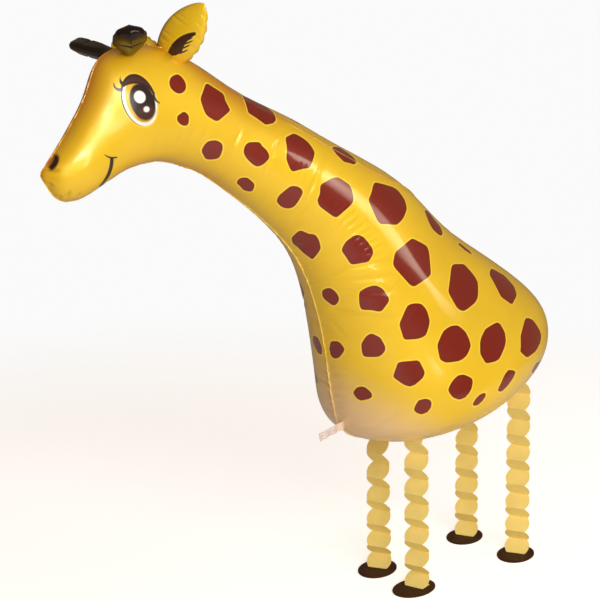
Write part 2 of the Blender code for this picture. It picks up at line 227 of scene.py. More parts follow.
# Creases of the left sheet: x and y of both ends in pixels, width and depth in millimetres
CREASES = (
    # over the neck
    (329, 150, 319, 172, 2.6, 0.8), (319, 172, 307, 197, 2.6, 0.9), (307, 197, 291, 218, 2.8, 0.6),
    (279, 140, 270, 160, 2.4, 0.7), (270, 160, 260, 182, 2.8, 0.5),
    (243, 125, 234, 146, 2.4, 0.8), (234, 146, 220, 171, 2.8, 0.6),
    # in from the breast
    (322, 274, 391, 260, 2.6, 0.9), (328, 282, 394, 277, 2.6, 0.9), (338, 292, 398, 292, 2.6, 0.8),
    (330, 309, 362, 316, 2.4, 1.1), (362, 316, 397, 321, 2.6, 0.9),
    (330, 320, 345, 337, 3.0, 0.7), (348, 321, 390, 326, 2.4, 0.5),
    # fine ones on the throat and the shoulder
    (291, 174, 296, 163, 1.9, 0.5), (295, 175, 301, 162, 1.9, 0.5), (299, 178, 306, 164, 1.9, 0.5),
    (304, 182, 311, 169, 2.0, 0.4),
    (331, 218, 344, 203, 2.0, 0.3), (336, 221, 350, 207, 2.0, 0.4), (340, 225, 356, 212, 2.0, 0.5),
    (344, 230, 362, 217, 2.0, 0.5), (349, 235, 368, 222, 2.0, 0.5), (353, 240, 374, 227, 2.0, 0.5),
    (357, 244, 378, 232, 2.0, 0.5), (361, 249, 382, 238, 2.0, 0.5), (365, 254, 386, 244, 2.0, 0.5),
    (367, 260, 390, 251, 2.2, 0.5), (370, 268, 396, 262, 2.2, 0.4),
    # at the front corner of the belly
    (322, 373, 341, 375, 2.0, 0.9), (326, 385, 354, 389, 2.2, 1.0), (329, 394, 342, 396, 2.0, 0.8),
    (331, 401, 343, 401, 2.0, 0.7), (333, 405, 342, 407, 2.0, 0.7), (337, 414, 352, 419, 2.2, 1.0),
    (354, 432, 370, 429, 2.4, 1.2), (370, 429, 398, 413, 2.8, 1.0), (404, 438, 427, 419, 3.0, 0.8),
    # on the jaw
    (169, 136, 166, 152, 2.4, 0.35), (181, 132, 178, 146, 2.4, 0.35),
    (195, 127, 190, 141, 2.4, 0.35), (208, 128, 203, 138, 2.4, 0.3), (157, 138, 155, 155, 2.4, 0.3),
    # on the nose
    (46, 168, 58, 171, 2.2, 1.6), (47, 184, 52, 185, 2.0, 1.3), (70, 192, 66, 199, 2.0, 1.6),
    (60, 196, 57, 200, 2.0, 1.0), (80, 193, 78, 198, 2.0, 0.8),
)

# Puckers of an ear: share of its length, width, depth as a share, edge that they start from
EAR_PUCKERS = (
    (0.20, 0.022, 0.35, 1), (0.30, 0.018, 0.22, 1), (0.56, 0.022, 0.45, 1),
    (0.64, 0.016, 0.22, 1), (0.86, 0.020, 0.22, 1),
    (0.22, 0.020, 0.14, -1), (0.38, 0.020, 0.16, -1), (0.54, 0.020, 0.16, -1),
    (0.70, 0.020, 0.16, -1), (0.84, 0.020, 0.14, -1),
)


# ---------------------------------------------------------------- colours
def linear(code):
    """A colour as the shader needs it, from its sRGB hex code."""
    parts = (int(code[i : i + 2], 16) / 255 for i in (1, 3, 5))
    return tuple(c / 12.92 if c <= 0.04045 else ((c + 0.055) / 1.055) ** 2.4 for c in parts)


def ink(name, code, description):
    return FloatVectorProperty(
        name=name, description=description, subtype="COLOR", min=0, max=1, default=linear(code)
    )


def length(name, default, description):
    return FloatProperty(
        name=name, description=description, default=default, min=0, unit="LENGTH"
    )


class GiraffeSizes(bpy.types.PropertyGroup):
    """Sizes of the finish, which leave the solids as they are."""

    weld_width: length("Weld width", 0.0019, "How far the welded edge stands out of the foil")
    weld_wave: length("Weld wave", 0.0004, "How much the welded edge wavers")
    pucker_spacing: length("Pucker spacing", 0.010, "From one pucker beside the weld to the next")
    pucker_depth: length("Pucker depth", 0.0014, "Depth of the deepest puckers beside the weld")
    spot_halo: length("Spot halo", 0.0019, "Width of the bright rim round a printed spot")
    spot_corner: length("Spot corner", 0.0040, "Length that is rounded off at a spot's corner")
    ear_rim: length("Ear rim", 0.0020, "Welded rim of an ear")
    horn_rim: length("Horn rim", 0.0012, "Welded rim of a horn")
    foot_bevel: length("Foot bevel", 0.0004, "Rounding of a card foot's cut edge")


class GiraffeColours(bpy.types.PropertyGroup):
    """Inks, card and film."""

    yellow: ink("Yellow foil", "#EEC41C", "Printed yellow of the envelope")
    # Also used as painted shade beside the upper weld on the neck and body
    amber: ink("Amber foil", "#C06A10", "Airbrushed shade at the edge of the head")
    cream: ink("Cream foil", "#F0CC9E", "Fade on the lower chest and the belly")
    spot: ink("Spot brown", "#7C1400", "Printed spots")
    halo: ink("Spot halo", "#FFD93C", "Bright rim round each spot")
    dark: ink("Dark ink", "#1C0505", "Outlines of the eye, the pupil and the mouth")
    lid: ink("Lid ink", "#452019", "Eyelid")
    white: ink("White ink", "#FFFCF4", "White of the eye and its two glints")
    iris: ink("Iris ink", "#E0AE12", "Crescent of the iris")
    ear: ink("Inner ear", "#3A1402", "Print inside the ear")
    horn: ink("Horn", "#180905", "Black-brown foil of the horns")
    olive: ink("Horn root", "#5E5010", "Olive foil at a horn's root")
    card: ink("Yellow card", "#FCE48A", "Strips of the legs")
    foot: ink("Brown card", "#3E2214", "Cards under the legs")
    film: ink("Clear film", "#F6E8E2", "Filler tail")


# ---------------------------------------------------------------- curves and surfaces
def closed_spline(knots, period, points, at):
    """A smooth closed curve through the points: a cubic between knots, bends matched."""
    count = len(knots)
    steps = np.diff(np.append(knots, knots[0] + period))
    slopes = (np.roll(points, -1, axis=0) - points) / steps[:, None]
    matrix = np.zeros((count, count))
    row = np.arange(count)
    matrix[row, row - 1] += steps[row - 1]
    matrix[row, row] += 2 * (steps[row - 1] + steps)
    matrix[row, (row + 1) % count] += steps
    bends = np.linalg.solve(matrix, 6 * (slopes - np.roll(slopes, 1, axis=0)))
    at = np.mod(at, period)
    i = np.clip(np.searchsorted(knots, at, side="right") - 1, 0, count - 1)
    j = (i + 1) % count
    step = steps[i][:, None]
    after = at[:, None] - knots[i][:, None]
    before = step - after
    curve = (bends[i] * before**3 + bends[j] * after**3) / (6 * step)
    curve += (points[i] / step - bends[i] * step / 6) * before
    return curve + (points[j] / step - bends[j] * step / 6) * after


def open_spline(knots, values, at):
    """A smooth open curve of one value through the knots, straight at both ends."""
    count = len(knots)
    steps = np.diff(knots)
    slopes = np.diff(values) / steps
    matrix = np.eye(count)
    right = np.zeros(count)
    row = np.arange(1, count - 1)
    matrix[row, row - 1] = steps[row - 1]
    matrix[row, row] = 2 * (steps[row - 1] + steps[row])
    matrix[row, row + 1] = steps[row]
    right[row] = 6 * (slopes[row] - slopes[row - 1])
    bends = np.linalg.solve(matrix, right)
    i = np.clip(np.searchsorted(knots, at, side="right") - 1, 0, count - 2)
    step = steps[i]
    after = at - knots[i]
    before = step - after
    curve = (bends[i] * before**3 + bends[i + 1] * after**3) / (6 * step)
    curve += (values[i] / step - bends[i] * step / 6) * before
    return curve + (values[i + 1] / step - bends[i + 1] * step / 6) * after


def rungs_at(at):
    """Middle, half reach, half depth and sag of the rung at each share of the way from the
    nose, and the length of the whole way."""
    rungs = np.array(ENVELOPE_RUNGS)
    upper, lower = rungs[:, 0:2] * THOUSANDTH, rungs[:, 2:4] * THOUSANDTH
    strides = np.linalg.norm(np.diff(upper, axis=0), axis=1)
    strides = (strides + np.linalg.norm(np.diff(lower, axis=0), axis=1)) / 2
    knots = np.concatenate([[0], np.cumsum(strides)])
    period = 2 * knots[-1]
    at = at * knots[-1]
    loop_knots = np.concatenate([knots, period - knots[-2:0:-1]])
    loop = np.vstack([upper, lower[-2:0:-1]])
    top = closed_spline(loop_knots, period, loop, at)
    bottom = closed_spline(loop_knots, period, loop, period - at)
    reach = (top - bottom) / 2
    half = open_spline(knots, rungs[:, 4], at) * np.linalg.norm(reach, axis=1)
    return (top + bottom) / 2, reach, half, open_spline(knots, rungs[:, 5], at), knots[-1]


def oval_points(middle, reach, half, sag, turn):
    """x, z = middle + reach cos(turn); y = -half sin(turn) (1 - sag cos(turn))."""
    points = np.zeros(turn.shape + (3,))
    points[..., 0] = middle[:, None, 0] + reach[:, None, 0] * np.cos(turn)
    points[..., 2] = middle[:, None, 1] + reach[:, None, 1] * np.cos(turn)
    points[..., 1] = -half[:, None] * np.sin(turn) * (1 - sag[:, None] * np.cos(turn))
    return points


def smooth_step(low, high, value):
    share = np.clip((value - low) / (high - low), 0, 1)
    return share * share * (3 - 2 * share)


def eased(along, value, width):
    """The value averaged along the foil with weight exp(-(gap / width)^2), less near both ends."""
    reach = np.minimum(width, np.minimum(along, along[-1] - along) / 2 + 1e-6)
    weight = np.exp(-(((along[:, None] - along) / reach[:, None]) ** 2))
    return weight @ value / weight.sum(axis=1)


def wander(at, spacing, seed):
    """A smooth random value from -1 to 1 along a line: random knots, cosine between them."""
    draw = np.random.default_rng(seed)
    place = at / spacing
    knots = draw.uniform(-1, 1, int(place.max()) + 3)
    i = np.floor(place).astype(int)
    share = (1 - np.cos(math.pi * (place - i))) / 2
    return knots[i] * (1 - share) + knots[i + 1] * share


def outward_normals(points):
    """Unit normals of a ring surface, from its neighbours along and around."""
    along = np.gradient(points, axis=0)
    around = np.roll(points, -1, axis=1) - np.roll(points, 1, axis=1)
    normals = np.cross(around, along)
    centre = points.mean(axis=1, keepdims=True)
    sign = np.sign(np.sign((normals * (points - centre)).sum(axis=(1, 2))).sum()) or 1
    size = np.linalg.norm(normals, axis=2, keepdims=True)
    return sign * normals / np.maximum(size, 1e-12)


def pixels_of(points):
    """Where the eye sees points, in pixels from the picture's top left."""
    seen = points - EYE_PLACE
    ahead = seen @ EYE_AHEAD
    across = PICTURE / 2 + FOCUS * (seen @ EYE_RIGHT) / ahead
    return np.stack([across, PICTURE / 2 - FOCUS * (seen @ EYE_UP) / ahead], axis=-1)


def sight(pixel):
    """The direction in which the eye sees a pixel."""
    right, up = pixel[0] - PICTURE / 2, PICTURE / 2 - pixel[1]
    ray = EYE_AHEAD + right / FOCUS * EYE_RIGHT + up / FOCUS * EYE_UP
    return ray / np.linalg.norm(ray)


def cast(tree, pixel):
    """Point and normal of the surface at a pixel, or None beside it."""
    ray = sight(pixel)
    spot, normal, _, _ = tree.ray_cast(Vector(EYE_PLACE), Vector(ray))
    if spot is None:
        return None
    return np.array(spot), np.array(normal) * -np.sign(ray @ np.array(normal))


# ---------------------------------------------------------------- meshes
def skin(rings):
    """Quads between rings of points, which are closed round, and fans to one point at each end."""
    rows, columns = rings.shape[:2]
    index = np.arange(rows * columns).reshape(rows, columns)
    beside = np.roll(index, -1, axis=1)
    quads = np.stack([index[:-1], index[1:], beside[1:], beside[:-1]], axis=-1).reshape(-1, 4)
    start, end = rows * columns, rows * columns + 1
    first = np.stack([index[0], beside[0], np.full(columns, start)], axis=-1)
    last = np.stack([beside[-1], index[-1], np.full(columns, end)], axis=-1)
    return quads, np.concatenate([first, last])


def with_poles(values, first):
    """One value for each point of a skin: the rows from the first to the last but one, then
    the mean at each end."""
    return np.concatenate([values[first:-1].ravel(), [values[0].mean(), values[-1].mean()]])


def strip(rows, columns):
    """Quads of an open sheet."""
    index = np.arange(rows * columns).reshape(rows, columns)
    quads = [index[:-1, :-1], index[:-1, 1:], index[1:, 1:], index[1:, :-1]]
    return np.stack(quads, axis=-1).reshape(-1, 4)


def make_piece(name, points, quads, triangles=(), values=None, maps=None):
    """A smooth mesh object with its point values and UV maps; a closed one faces outwards."""
    faces = quads.tolist()
    if len(triangles):
        faces += triangles.tolist()
        corners = points[quads]
        spans = np.cross(corners[:, 2] - corners[:, 0], corners[:, 3] - corners[:, 1])
        if (spans * corners.mean(axis=1)).sum() < 0:
            faces = [face[::-1] for face in faces]
    mesh = bpy.data.meshes.new(name)
    mesh.from_pydata(points.tolist(), [], faces)
    mesh.shade_smooth()
    for label, value in (values or {}).items():
        layer = mesh.attributes.new(label, "FLOAT", "POINT")
        layer.data.foreach_set("value", value.astype(np.float32))
    corner = np.zeros(len(mesh.loops), np.int32)
    mesh.loops.foreach_get("vertex_index", corner)
    for label, place in (maps or {}).items():
        layer = mesh.uv_layers.new(name=label)
        layer.data.foreach_set("uv", place[corner].astype(np.float32).ravel())
    piece = bpy.data.objects.new(name, mesh)
    bpy.context.scene.collection.objects.link(piece)
    return piece


def thicken(piece, label, thickness):
    """Gives an open sheet its thickness, half to each side."""
    wall = piece.modifiers.new(label, "SOLIDIFY")
    wall.thickness = thickness
    wall.offset = 0


def settle(piece, material, slot, *nodes):
    """Gives a piece its finish, hangs it under the root body and hides the solids it stands for."""
    piece.data.materials.append(material)
    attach(piece, "root")
    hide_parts(*nodes)


# ---------------------------------------------------------------- materials
def add(tree, kind, inputs=None, **settings):
    """Adds a node with its settings; each input gets a number, a colour, or what feeds it."""
    made = tree.nodes.new("ShaderNode" + kind)
    for name, value in settings.items():
        setattr(made, name, value)
    for name, value in (inputs or {}).items():
        if isinstance(value, bpy.types.Node):
            value = value.outputs[0]
        if isinstance(value, bpy.types.NodeSocket):
            tree.links.new(value, made.inputs[name])
        else:
            made.inputs[name].default_value = value
    return made


def new_material(label):
    material = bpy.data.materials.new(label)
    material.use_nodes = True
    material.node_tree.nodes.clear()
    return material, material.node_tree


def opaque(colour):
    return (*colour, 1.0)


def toned(tree, colour, value, spread, low, high):
    """Multiplies a colour by a tone from low to high, as a noise strays by the spread."""
    span = {"Value": value, "From Min": 0.5 - spread, "From Max": 0.5 + spread}
    tone = add(tree, "MapRange", {**span, "To Min": low, "To Max": high})
    inputs = {0: 1.0, 6: colour, 7: tone}
    return add(tree, "Mix", inputs, data_type="RGBA", blend_type="MULTIPLY").outputs[2]


def printed(tree, under, distance, colour, soft=0.45):
    """Lays ink where the distance is below nought, with an edge that fades over a little."""
    cover = add(tree, "MapRange", {"Value": distance, "From Min": soft, "From Max": -soft})
    return add(tree, "Mix", {0: cover, 6: under, 7: opaque(colour)}, data_type="RGBA").outputs[2]


def oval(tree, place, centre, across, along=None, tilt=0.0):
    """Distance from an oval in pixels: (length of the place in the oval's own frame - 1) across."""
    own = {"Location": (*centre, 0), "Rotation": (0, 0, math.radians(tilt))}
    own |= {"Vector": place, "Scale": (across, along or across, 1)}
    inside = add(tree, "Mapping", own, vector_type="TEXTURE")
    far = add(tree, "VectorMath", {0: inside}, operation="LENGTH").outputs["Value"]
    return add(tree, "Math", {0: far, 1: across, 2: -across}, operation="MULTIPLY_ADD")


def past(tree, place, point, heading):
    """Distance past a straight line in pixels, in the heading given in degrees from +x to +y."""
    way = (math.cos(math.radians(heading)), math.sin(math.radians(heading)), 0)
    along = add(tree, "VectorMath", {0: place, 1: way}, operation="DOT_PRODUCT").outputs["Value"]
    start = point[0] * way[0] + point[1] * way[1]
    return add(tree, "Math", {0: along, 1: start}, operation="SUBTRACT")


def shared(tree, shapes, holes=()):
    """Distance from what shapes share outside the holes: the largest of the shapes' distances
    and the holes' with their sign turned."""
    far = shapes[0]
    for shape in shapes[1:]:
        far = add(tree, "Math", {0: far, 1: shape}, operation="MAXIMUM")
    for hole in holes:
        outside = add(tree, "Math", {0: hole, 1: -1.0}, operation="MULTIPLY")
        far = add(tree, "Math", {0: far, 1: outside}, operation="MAXIMUM")
    return far


def print_eye(tree, colour, place, inks):
    """The eye: ovals tilted alike, then the lid, which is the ball less a round hollow."""
    tilt = -19
    ball = oval(tree, place, (138.9, 100.1), 17.1, 26.9, tilt)
    white = oval(tree, place, (139.8, 100.8), 16.3, 26.1, tilt)
    iris = oval(tree, place, (139.9, 100.3), 13.9, 23.2, tilt)
    pupil = oval(tree, place, (142.5, 101.8), 12.2, 18.8, tilt)
    # Painted reflection: warm brown where the streak of light off the foil crosses the pupil's
    # lower part
    pupil_painted_reflection = shared(tree, [pupil, oval(tree, place, (146.5, 113.0), 9.0, 7.0, -30)])
    hollow = oval(tree, place, (135.0, 104.0), 20.3)
    lid = shared(tree, [shared(tree, [ball], [hollow]), past(tree, place, (138, 97), 80)])
    lid_fill = shared(tree, [white, oval(tree, place, (136.0, 84.6), 19.0, 9.5, 12)])
    above = add(tree, "Math", {0: 1.6, 1: hollow}, operation="SUBTRACT")
    lid_fill = shared(tree, [lid_fill, above, lid])
    glow = add(tree, "Math", {0: ball, 1: 0.9}, operation="SUBTRACT")
    for shape, colour_of, soft in (
        (glow, inks.halo, 0.9),
        (ball, inks.dark, 0.45),
        (white, inks.white, 0.45),
        (iris, inks.iris, 0.8),
        (pupil, inks.dark, 0.6),
        (pupil_painted_reflection, inks.lid, 2.5),
        (lid, inks.dark, 0.45),
        (lid_fill, inks.lid, 0.7),
        (oval(tree, place, (139.8, 97.0), 5.6, 6.3, -28), inks.white, 0.6),
        (oval(tree, place, (146.5, 109.3), 2.9), inks.white, 0.6),
    ):
        colour = printed(tree, colour, shape, colour_of, soft)
    lashes = (
        # a round less another, to the right of one point and above another
        ((120.7, 84.3), 7.4, (119.25, 83.0), 5.0, (123.0, 84.5), (118.0, 83.0)),
        ((127.0, 80.3), 7.6, (126.2, 77.0), 5.8, (124.5, 80.0), (121.0, 76.0)),
        ((162.4, 94.2), 9.8, (166.2, 93.0), 11.5, (159.8, 98.0), (155.0, 92.0)),
    )
    for outer, wide, inner, narrow, left, top in lashes:
        rounds = oval(tree, place, outer, wide), oval(tree, place, inner, narrow)
        lash = shared(tree, rounds[:1], rounds[1:])
        lash = shared(tree, [lash, past(tree, place, left, 0)], [past(tree, place, top, 90)])
        colour = printed(tree, colour, lash, inks.dark)
    return colour


def print_face(tree, colour, place, inks):
    """The eye, the mouth and the nostril: ovals, and crescents of one oval less another."""
    colour = print_eye(tree, colour, place, inks)
    line = oval(tree, place, (80.06, 159.8), 33.6), oval(tree, place, (70.3, 158.2), 39.8)
    corner = oval(tree, place, (112.7, 148.4), 10.3), oval(tree, place, (113.2, 142.0), 14.9)
    below = past(tree, place, (0, 158.0), -90)
    line = shared(tree, [shared(tree, line[:1], line[1:]), below])
    corner = shared(tree, corner[:1], corner[1:])
    corner = shared(tree, [corner, oval(tree, place, (112.3, 156.5), 8.5)])
    lips = add(tree, "Math", {0: line, 1: corner}, operation="MINIMUM")
    lips = shared(tree, [lips, oval(tree, place, (109.0, 172.5), 13.5, 19.5)])
    colour = printed(tree, colour, lips, inks.dark, 0.35)
    nostril = oval(tree, place, (53.6, 162.2), 4.4, 8.0, 28)
    colour = printed(tree, colour, nostril, inks.amber, 1.6)
    shade = shared(tree, [nostril], [oval(tree, place, (48.6, 160.0), 4.4, 9.5, 28)])
    return printed(tree, colour, shade, inks.dark, 0.8)


def printed_foil(name, inks, sizes, prints, coat=0.8, rough=0.40):
    """Printed balloon foil: metallised nylon film under clear ink and a glossy skin. The metal
    gives soft, coloured reflections, the skin sharp pale ones, which are blurred where the foil
    is least strained; crinkles run across the welds."""
    material, tree = new_material(name)
    place = add(tree, "UVMap", uv_map="picture")
    place = add(tree, "VectorMath", {0: place, 1: (PICTURE, PICTURE, 0)}, operation="MULTIPLY")
    solid = add(tree, "TexCoord").outputs["Object"]
    cloud = add(tree, "TexNoise", {"Vector": solid, "Scale": 9.0, "Detail": 3.0})
    colour = toned(tree, opaque(inks.yellow), cloud, 0.2, 0.94, 1.05)
    # The amber share is airbrushed print on the head, and painted shade beside the upper weld on
    # the neck and body
    for label, tint in (("cream", inks.cream), ("amber", inks.amber)):
        share = add(tree, "Attribute", attribute_name=label).outputs["Fac"]
        tinted = {0: share, 6: colour, 7: opaque(tint)}
        colour = add(tree, "Mix", tinted, data_type="RGBA").outputs[2]
    colour = prints(tree, colour, place, inks, sizes)
    # Crinkles: some 5 mm apart along the weld and 50 mm long across it
    sheet = add(tree, "UVMap", uv_map="sheet")
    sheet = add(tree, "VectorMath", {0: sheet, 1: (190.0, 18.0, 1.0)}, operation="MULTIPLY")
    crinkle = {"Vector": sheet, "Scale": 1.0, "Detail": 2.0, "Roughness": 0.45}
    crinkle = add(tree, "TexNoise", crinkle)
    strain = add(tree, "Attribute", attribute_name="strain").outputs["Fac"]
    height = add(tree, "Math", {0: crinkle, 1: strain}, operation="MULTIPLY")
    bump = add(tree, "Bump", {"Height": height, "Strength": 1.0, "Distance": 0.0010})
    grain = add(tree, "TexNoise", {"Vector": solid, "Scale": 240.0, "Detail": 2.0})
    metal = add(tree, "MapRange", {"Value": grain, "To Min": rough - 0.05, "To Max": rough + 0.05})
    gloss = {"Value": strain, "From Min": 0.02, "From Max": 0.12, "To Min": 0.20, "To Max": 0.08}
    gloss = add(tree, "MapRange", gloss)
    finish = {"Base Color": colour, "Metallic": 0.2, "Roughness": metal, "Normal": bump}
    finish |= {"Coat Weight": coat, "Coat Roughness": gloss}
    add(tree, "OutputMaterial", {"Surface": add(tree, "BsdfPrincipled", finish)})
    return material


def envelope_print(tree, colour, place, inks, sizes):
    """Spots with a bright rim where the stored distance is small, darker near their own edge,
    a painted highlight along the weld (a pale line where its raised edge catches the light),
    then the face."""
    spot = add(tree, "Attribute", attribute_name="spot").outputs["Fac"]
    rim = add(tree, "Math", {0: spot, 1: sizes.spot_halo}, operation="SUBTRACT")
    colour = printed(tree, colour, rim, inks.halo, 0.0007)
    colour = printed(tree, colour, spot, inks.spot, 0.0004)
    edge = {"Value": spot, "From Min": -0.0022, "From Max": 0.0, "To Max": 0.45}
    inside = {"Value": spot, "From Min": 0.0003, "From Max": -0.0003}
    edge, inside = add(tree, "MapRange", edge), add(tree, "MapRange", inside)
    edge = add(tree, "Math", {0: edge, 1: inside}, operation="MULTIPLY")
    colour = {0: edge, 6: colour, 7: opaque(inks.dark)}
    colour = add(tree, "Mix", colour, data_type="RGBA").outputs[2]
    # Painted highlight: a pale line along the welds, where the welded edge catches the light
    weld = add(tree, "Attribute", attribute_name="weld").outputs["Fac"]
    pale = {"Value": weld, "From Min": 0.0012, "From Max": 0.0002, "To Max": 0.4}
    colour = {0: add(tree, "MapRange", pale), 6: colour, 7: opaque(inks.card)}
    colour = add(tree, "Mix", colour, data_type="RGBA").outputs[2]
    return print_face(tree, colour, place, inks)


def ear_print(tree, colour, place, inks, sizes):
    """A dark blade between two arcs with hairs along its lower edge."""
    arcs = oval(tree, place, (196.2, 62.2), 30.2), oval(tree, place, (171.0, 44.0), 27.5, 12.5, -28)
    blade = shared(tree, arcs, [oval(tree, place, (205.9, 57.1), 24.2)])
    blade = shared(tree, [blade, past(tree, place, (176, 55.5), 82)])
    hairs = ((188.6, 39.4), 4.6), ((188.8, 42.4), 4.6), ((186.0, 46.8), 5.0), ((183.6, 51.8), 5.0)
    for middle, reach in hairs:
        hair = oval(tree, place, middle, reach, 0.8, -25)
        blade = add(tree, "Math", {0: blade, 1: hair}, operation="MINIMUM")
    rim = add(tree, "Math", {0: blade, 1: 0.8}, operation="SUBTRACT")
    colour = printed(tree, colour, rim, inks.halo, 0.8)
    return printed(tree, colour, blade, inks.ear, 0.5)


def horn_print(tree, colour, place, inks, sizes):
    """Black-brown from the tip down, olive at the root."""
    root = add(tree, "Attribute", attribute_name="root").outputs["Fac"]
    ends = {0: root, 6: opaque(inks.horn), 7: opaque(inks.olive)}
    return add(tree, "Mix", ends, data_type="RGBA").outputs[2]


def card_material(name, colour, fibre, shade):
    """Uncoated coloured card, die cut: matt, with felted fibres a millimetre or so long."""
    material, tree = new_material(name)
    place = add(tree, "TexCoord").outputs["Object"]
    drawn = {"Vector": place, "Rotation": (0.3, 0.5, 0.2), "Scale": (1.0, 1.0, 0.25)}
    felt = {"Vector": add(tree, "Mapping", drawn), "Scale": fibre, "Detail": 5.0}
    felt = add(tree, "TexNoise", {**felt, "Roughness": 0.65})
    cloud = add(tree, "TexNoise", {"Vector": place, "Scale": 35.0, "Detail": 2.0})
    paint = toned(tree, opaque(colour), felt, 0.25, 1 - shade, 1 + shade)
    paint = toned(tree, paint, cloud, 0.2, 0.95, 1.04)
    bump = add(tree, "Bump", {"Height": felt, "Strength": 0.5, "Distance": 0.0002})
    rough = add(tree, "MapRange", {"Value": felt, "To Min": 0.62, "To Max": 0.80})
    finish = {"Base Color": paint, "Roughness": rough, "Normal": bump, "IOR": 1.45}
    add(tree, "OutputMaterial", {"Surface": add(tree, "BsdfPrincipled", finish)})
    return material


def film_material(inks):
    """Clear polyethylene filler film, blown and welded: milky, wrinkled along its length, with
    the envelope's cream print running out on its first third."""
    material, tree = new_material("clear polyethylene film")
    sheet = add(tree, "UVMap", uv_map="sheet")
    wrinkle = add(tree, "VectorMath", {0: sheet, 1: (60.0, 700.0, 1.0)}, operation="MULTIPLY")
    folds = add(tree, "TexNoise", {"Vector": wrinkle, "Scale": 1.0, "Detail": 2.0})
    way = add(tree, "SeparateXYZ", {0: sheet})
    worn = add(tree, "Math", {0: folds, 1: 0.012, 2: way.outputs[0]}, operation="MULTIPLY_ADD")
    clear = {"Value": worn, "From Min": 0.020, "From Max": 0.030, "To Min": 0.45}
    clear = add(tree, "MapRange", clear)
    colour = {0: clear, 6: opaque(inks.cream), 7: opaque(inks.film)}
    colour = add(tree, "Mix", colour, data_type="RGBA").outputs[2]
    through = add(tree, "MapRange", {"Value": clear, "To Min": 0.0, "To Max": 0.3})
    bump = add(tree, "Bump", {"Height": folds, "Strength": 0.7, "Distance": 0.0006})
    finish = {"Base Color": colour, "Roughness": 0.22, "Normal": bump}
    finish |= {"Transmission Weight": through, "IOR": 1.5}
    add(tree, "OutputMaterial", {"Surface": add(tree, "BsdfPrincipled", finish)})
    return material


# ---------------------------------------------------------------- the envelope
def panel_turns(reach, half, sag, seam, low_seam):
    """Angle of each column of the left sheet: close to both welds at set distances, even
    between."""
    size = np.linalg.norm(reach, axis=1)
    steps = WELD_STEPS[None, :] * np.minimum(1, size * 0.35 / WELD_STEPS[-1])[:, None]

    def pace(turn):
        rise = half * (np.cos(turn) - sag * np.cos(2 * turn))
        return np.maximum(np.hypot(size * np.sin(turn), rise), 1e-6)

    first = seam[:, None] + steps / pace(seam)[:, None]
    last = low_seam[:, None] - steps[:, ::-1] / pace(low_seam)[:, None]
    count = PANEL_COLUMNS - 2 * len(WELD_STEPS)
    share = np.linspace(0, 1, count + 2)[1:-1]
    between = first[:, -1:] + (last[:, :1] - first[:, -1:]) * share
    return np.concatenate([seam[:, None], first, between, last, low_seam[:, None]], axis=1)


def envelope_rings():
    """Rings from nose to tail end: the left sheet's columns from the upper weld to the lower,
    then the right sheet's back again. Gives each ring's share of the way and length along,
    its middle and reach, the upper weld's turn, and the points with their normals."""
    even = np.linspace(0, 1, ENVELOPE_ROWS + 1)
    share = (even + (1 - np.cos(math.pi * even)) / 2) / 2
    middle, reach, half, sag, whole = rungs_at(share)
    along = share * whole
    half = eased(along, half, DEPTH_EASING)
    seam, low_seam = (
        eased(along, np.radians(np.interp(share, *np.array(turns, float).T)), SEAM_EASING)
        for turns in (SEAM_TURNS, LOW_SEAM_TURNS)
    )
    left = panel_turns(reach, half, sag, seam, low_seam)
    stretch = ((2 * math.pi + seam - low_seam) / (low_seam - seam))[:, None]
    right = low_seam[:, None] + (low_seam[:, None] - left) * stretch
    turns = np.concatenate([left, right[:, PANEL_COLUMNS:0:-1]], axis=1)
    points = oval_points(middle, reach, half, sag, turns)
    normals = outward_normals(points)
    normals[0], normals[-1] = (-1, 0, 0), TAIL_FACING
    return share, along, middle, reach, seam, points, normals


def sheet_runs(points):
    """Distance of each column from the upper weld, over the left sheet and over the right."""
    closed = np.concatenate([points, points[:, :1]], axis=1)
    strides = np.linalg.norm(np.diff(closed, axis=1), axis=2)
    run = np.concatenate([np.zeros((len(points), 1)), np.cumsum(strides, axis=1)], axis=1)
    return run[:, : LOW_WELD + 1], (run[:, -1:] - run[:, LOW_WELD:])[:, ::-1]


def rounded(corners, cut):
    """A polygon whose corners are cut back along both edges and bent through the middle."""
    before = np.roll(corners, 1, axis=0) - corners
    after = np.roll(corners, -1, axis=0) - corners
    long_before = np.linalg.norm(before, axis=1, keepdims=True)
    long_after = np.linalg.norm(after, axis=1, keepdims=True)
    first = corners + before * np.minimum(cut / long_before, 0.4)
    last = corners + after * np.minimum(cut / long_after, 0.4)
    return np.stack([first, (first + last) / 4 + corners / 2, last], axis=1).reshape(-1, 2)


def polygon_distance(places, corners):
    """Distance of flat places from a polygon's outline, below nought inside it."""
    start = corners[None]
    edge = np.roll(corners, -1, axis=0)[None] - start
    away = places[:, None] - start
    share = np.clip((away * edge).sum(-1) / np.maximum((edge**2).sum(-1), 1e-12), 0, 1)
    gap = np.linalg.norm(away - edge * share[..., None], axis=-1).min(axis=1)
    end = start + edge
    straddles = (start[..., 1] > places[:, None, 1]) != (end[..., 1] > places[:, None, 1])
    rise = np.where(np.abs(edge[..., 1]) < 1e-12, 1e-12, edge[..., 1])
    crossing = start[..., 0] + (places[:, None, 1] - start[..., 1]) / rise * edge[..., 0]
    inside = (straddles & (places[:, None, 0] < crossing)).sum(axis=1) % 2 == 1
    return np.where(inside, -gap, gap)


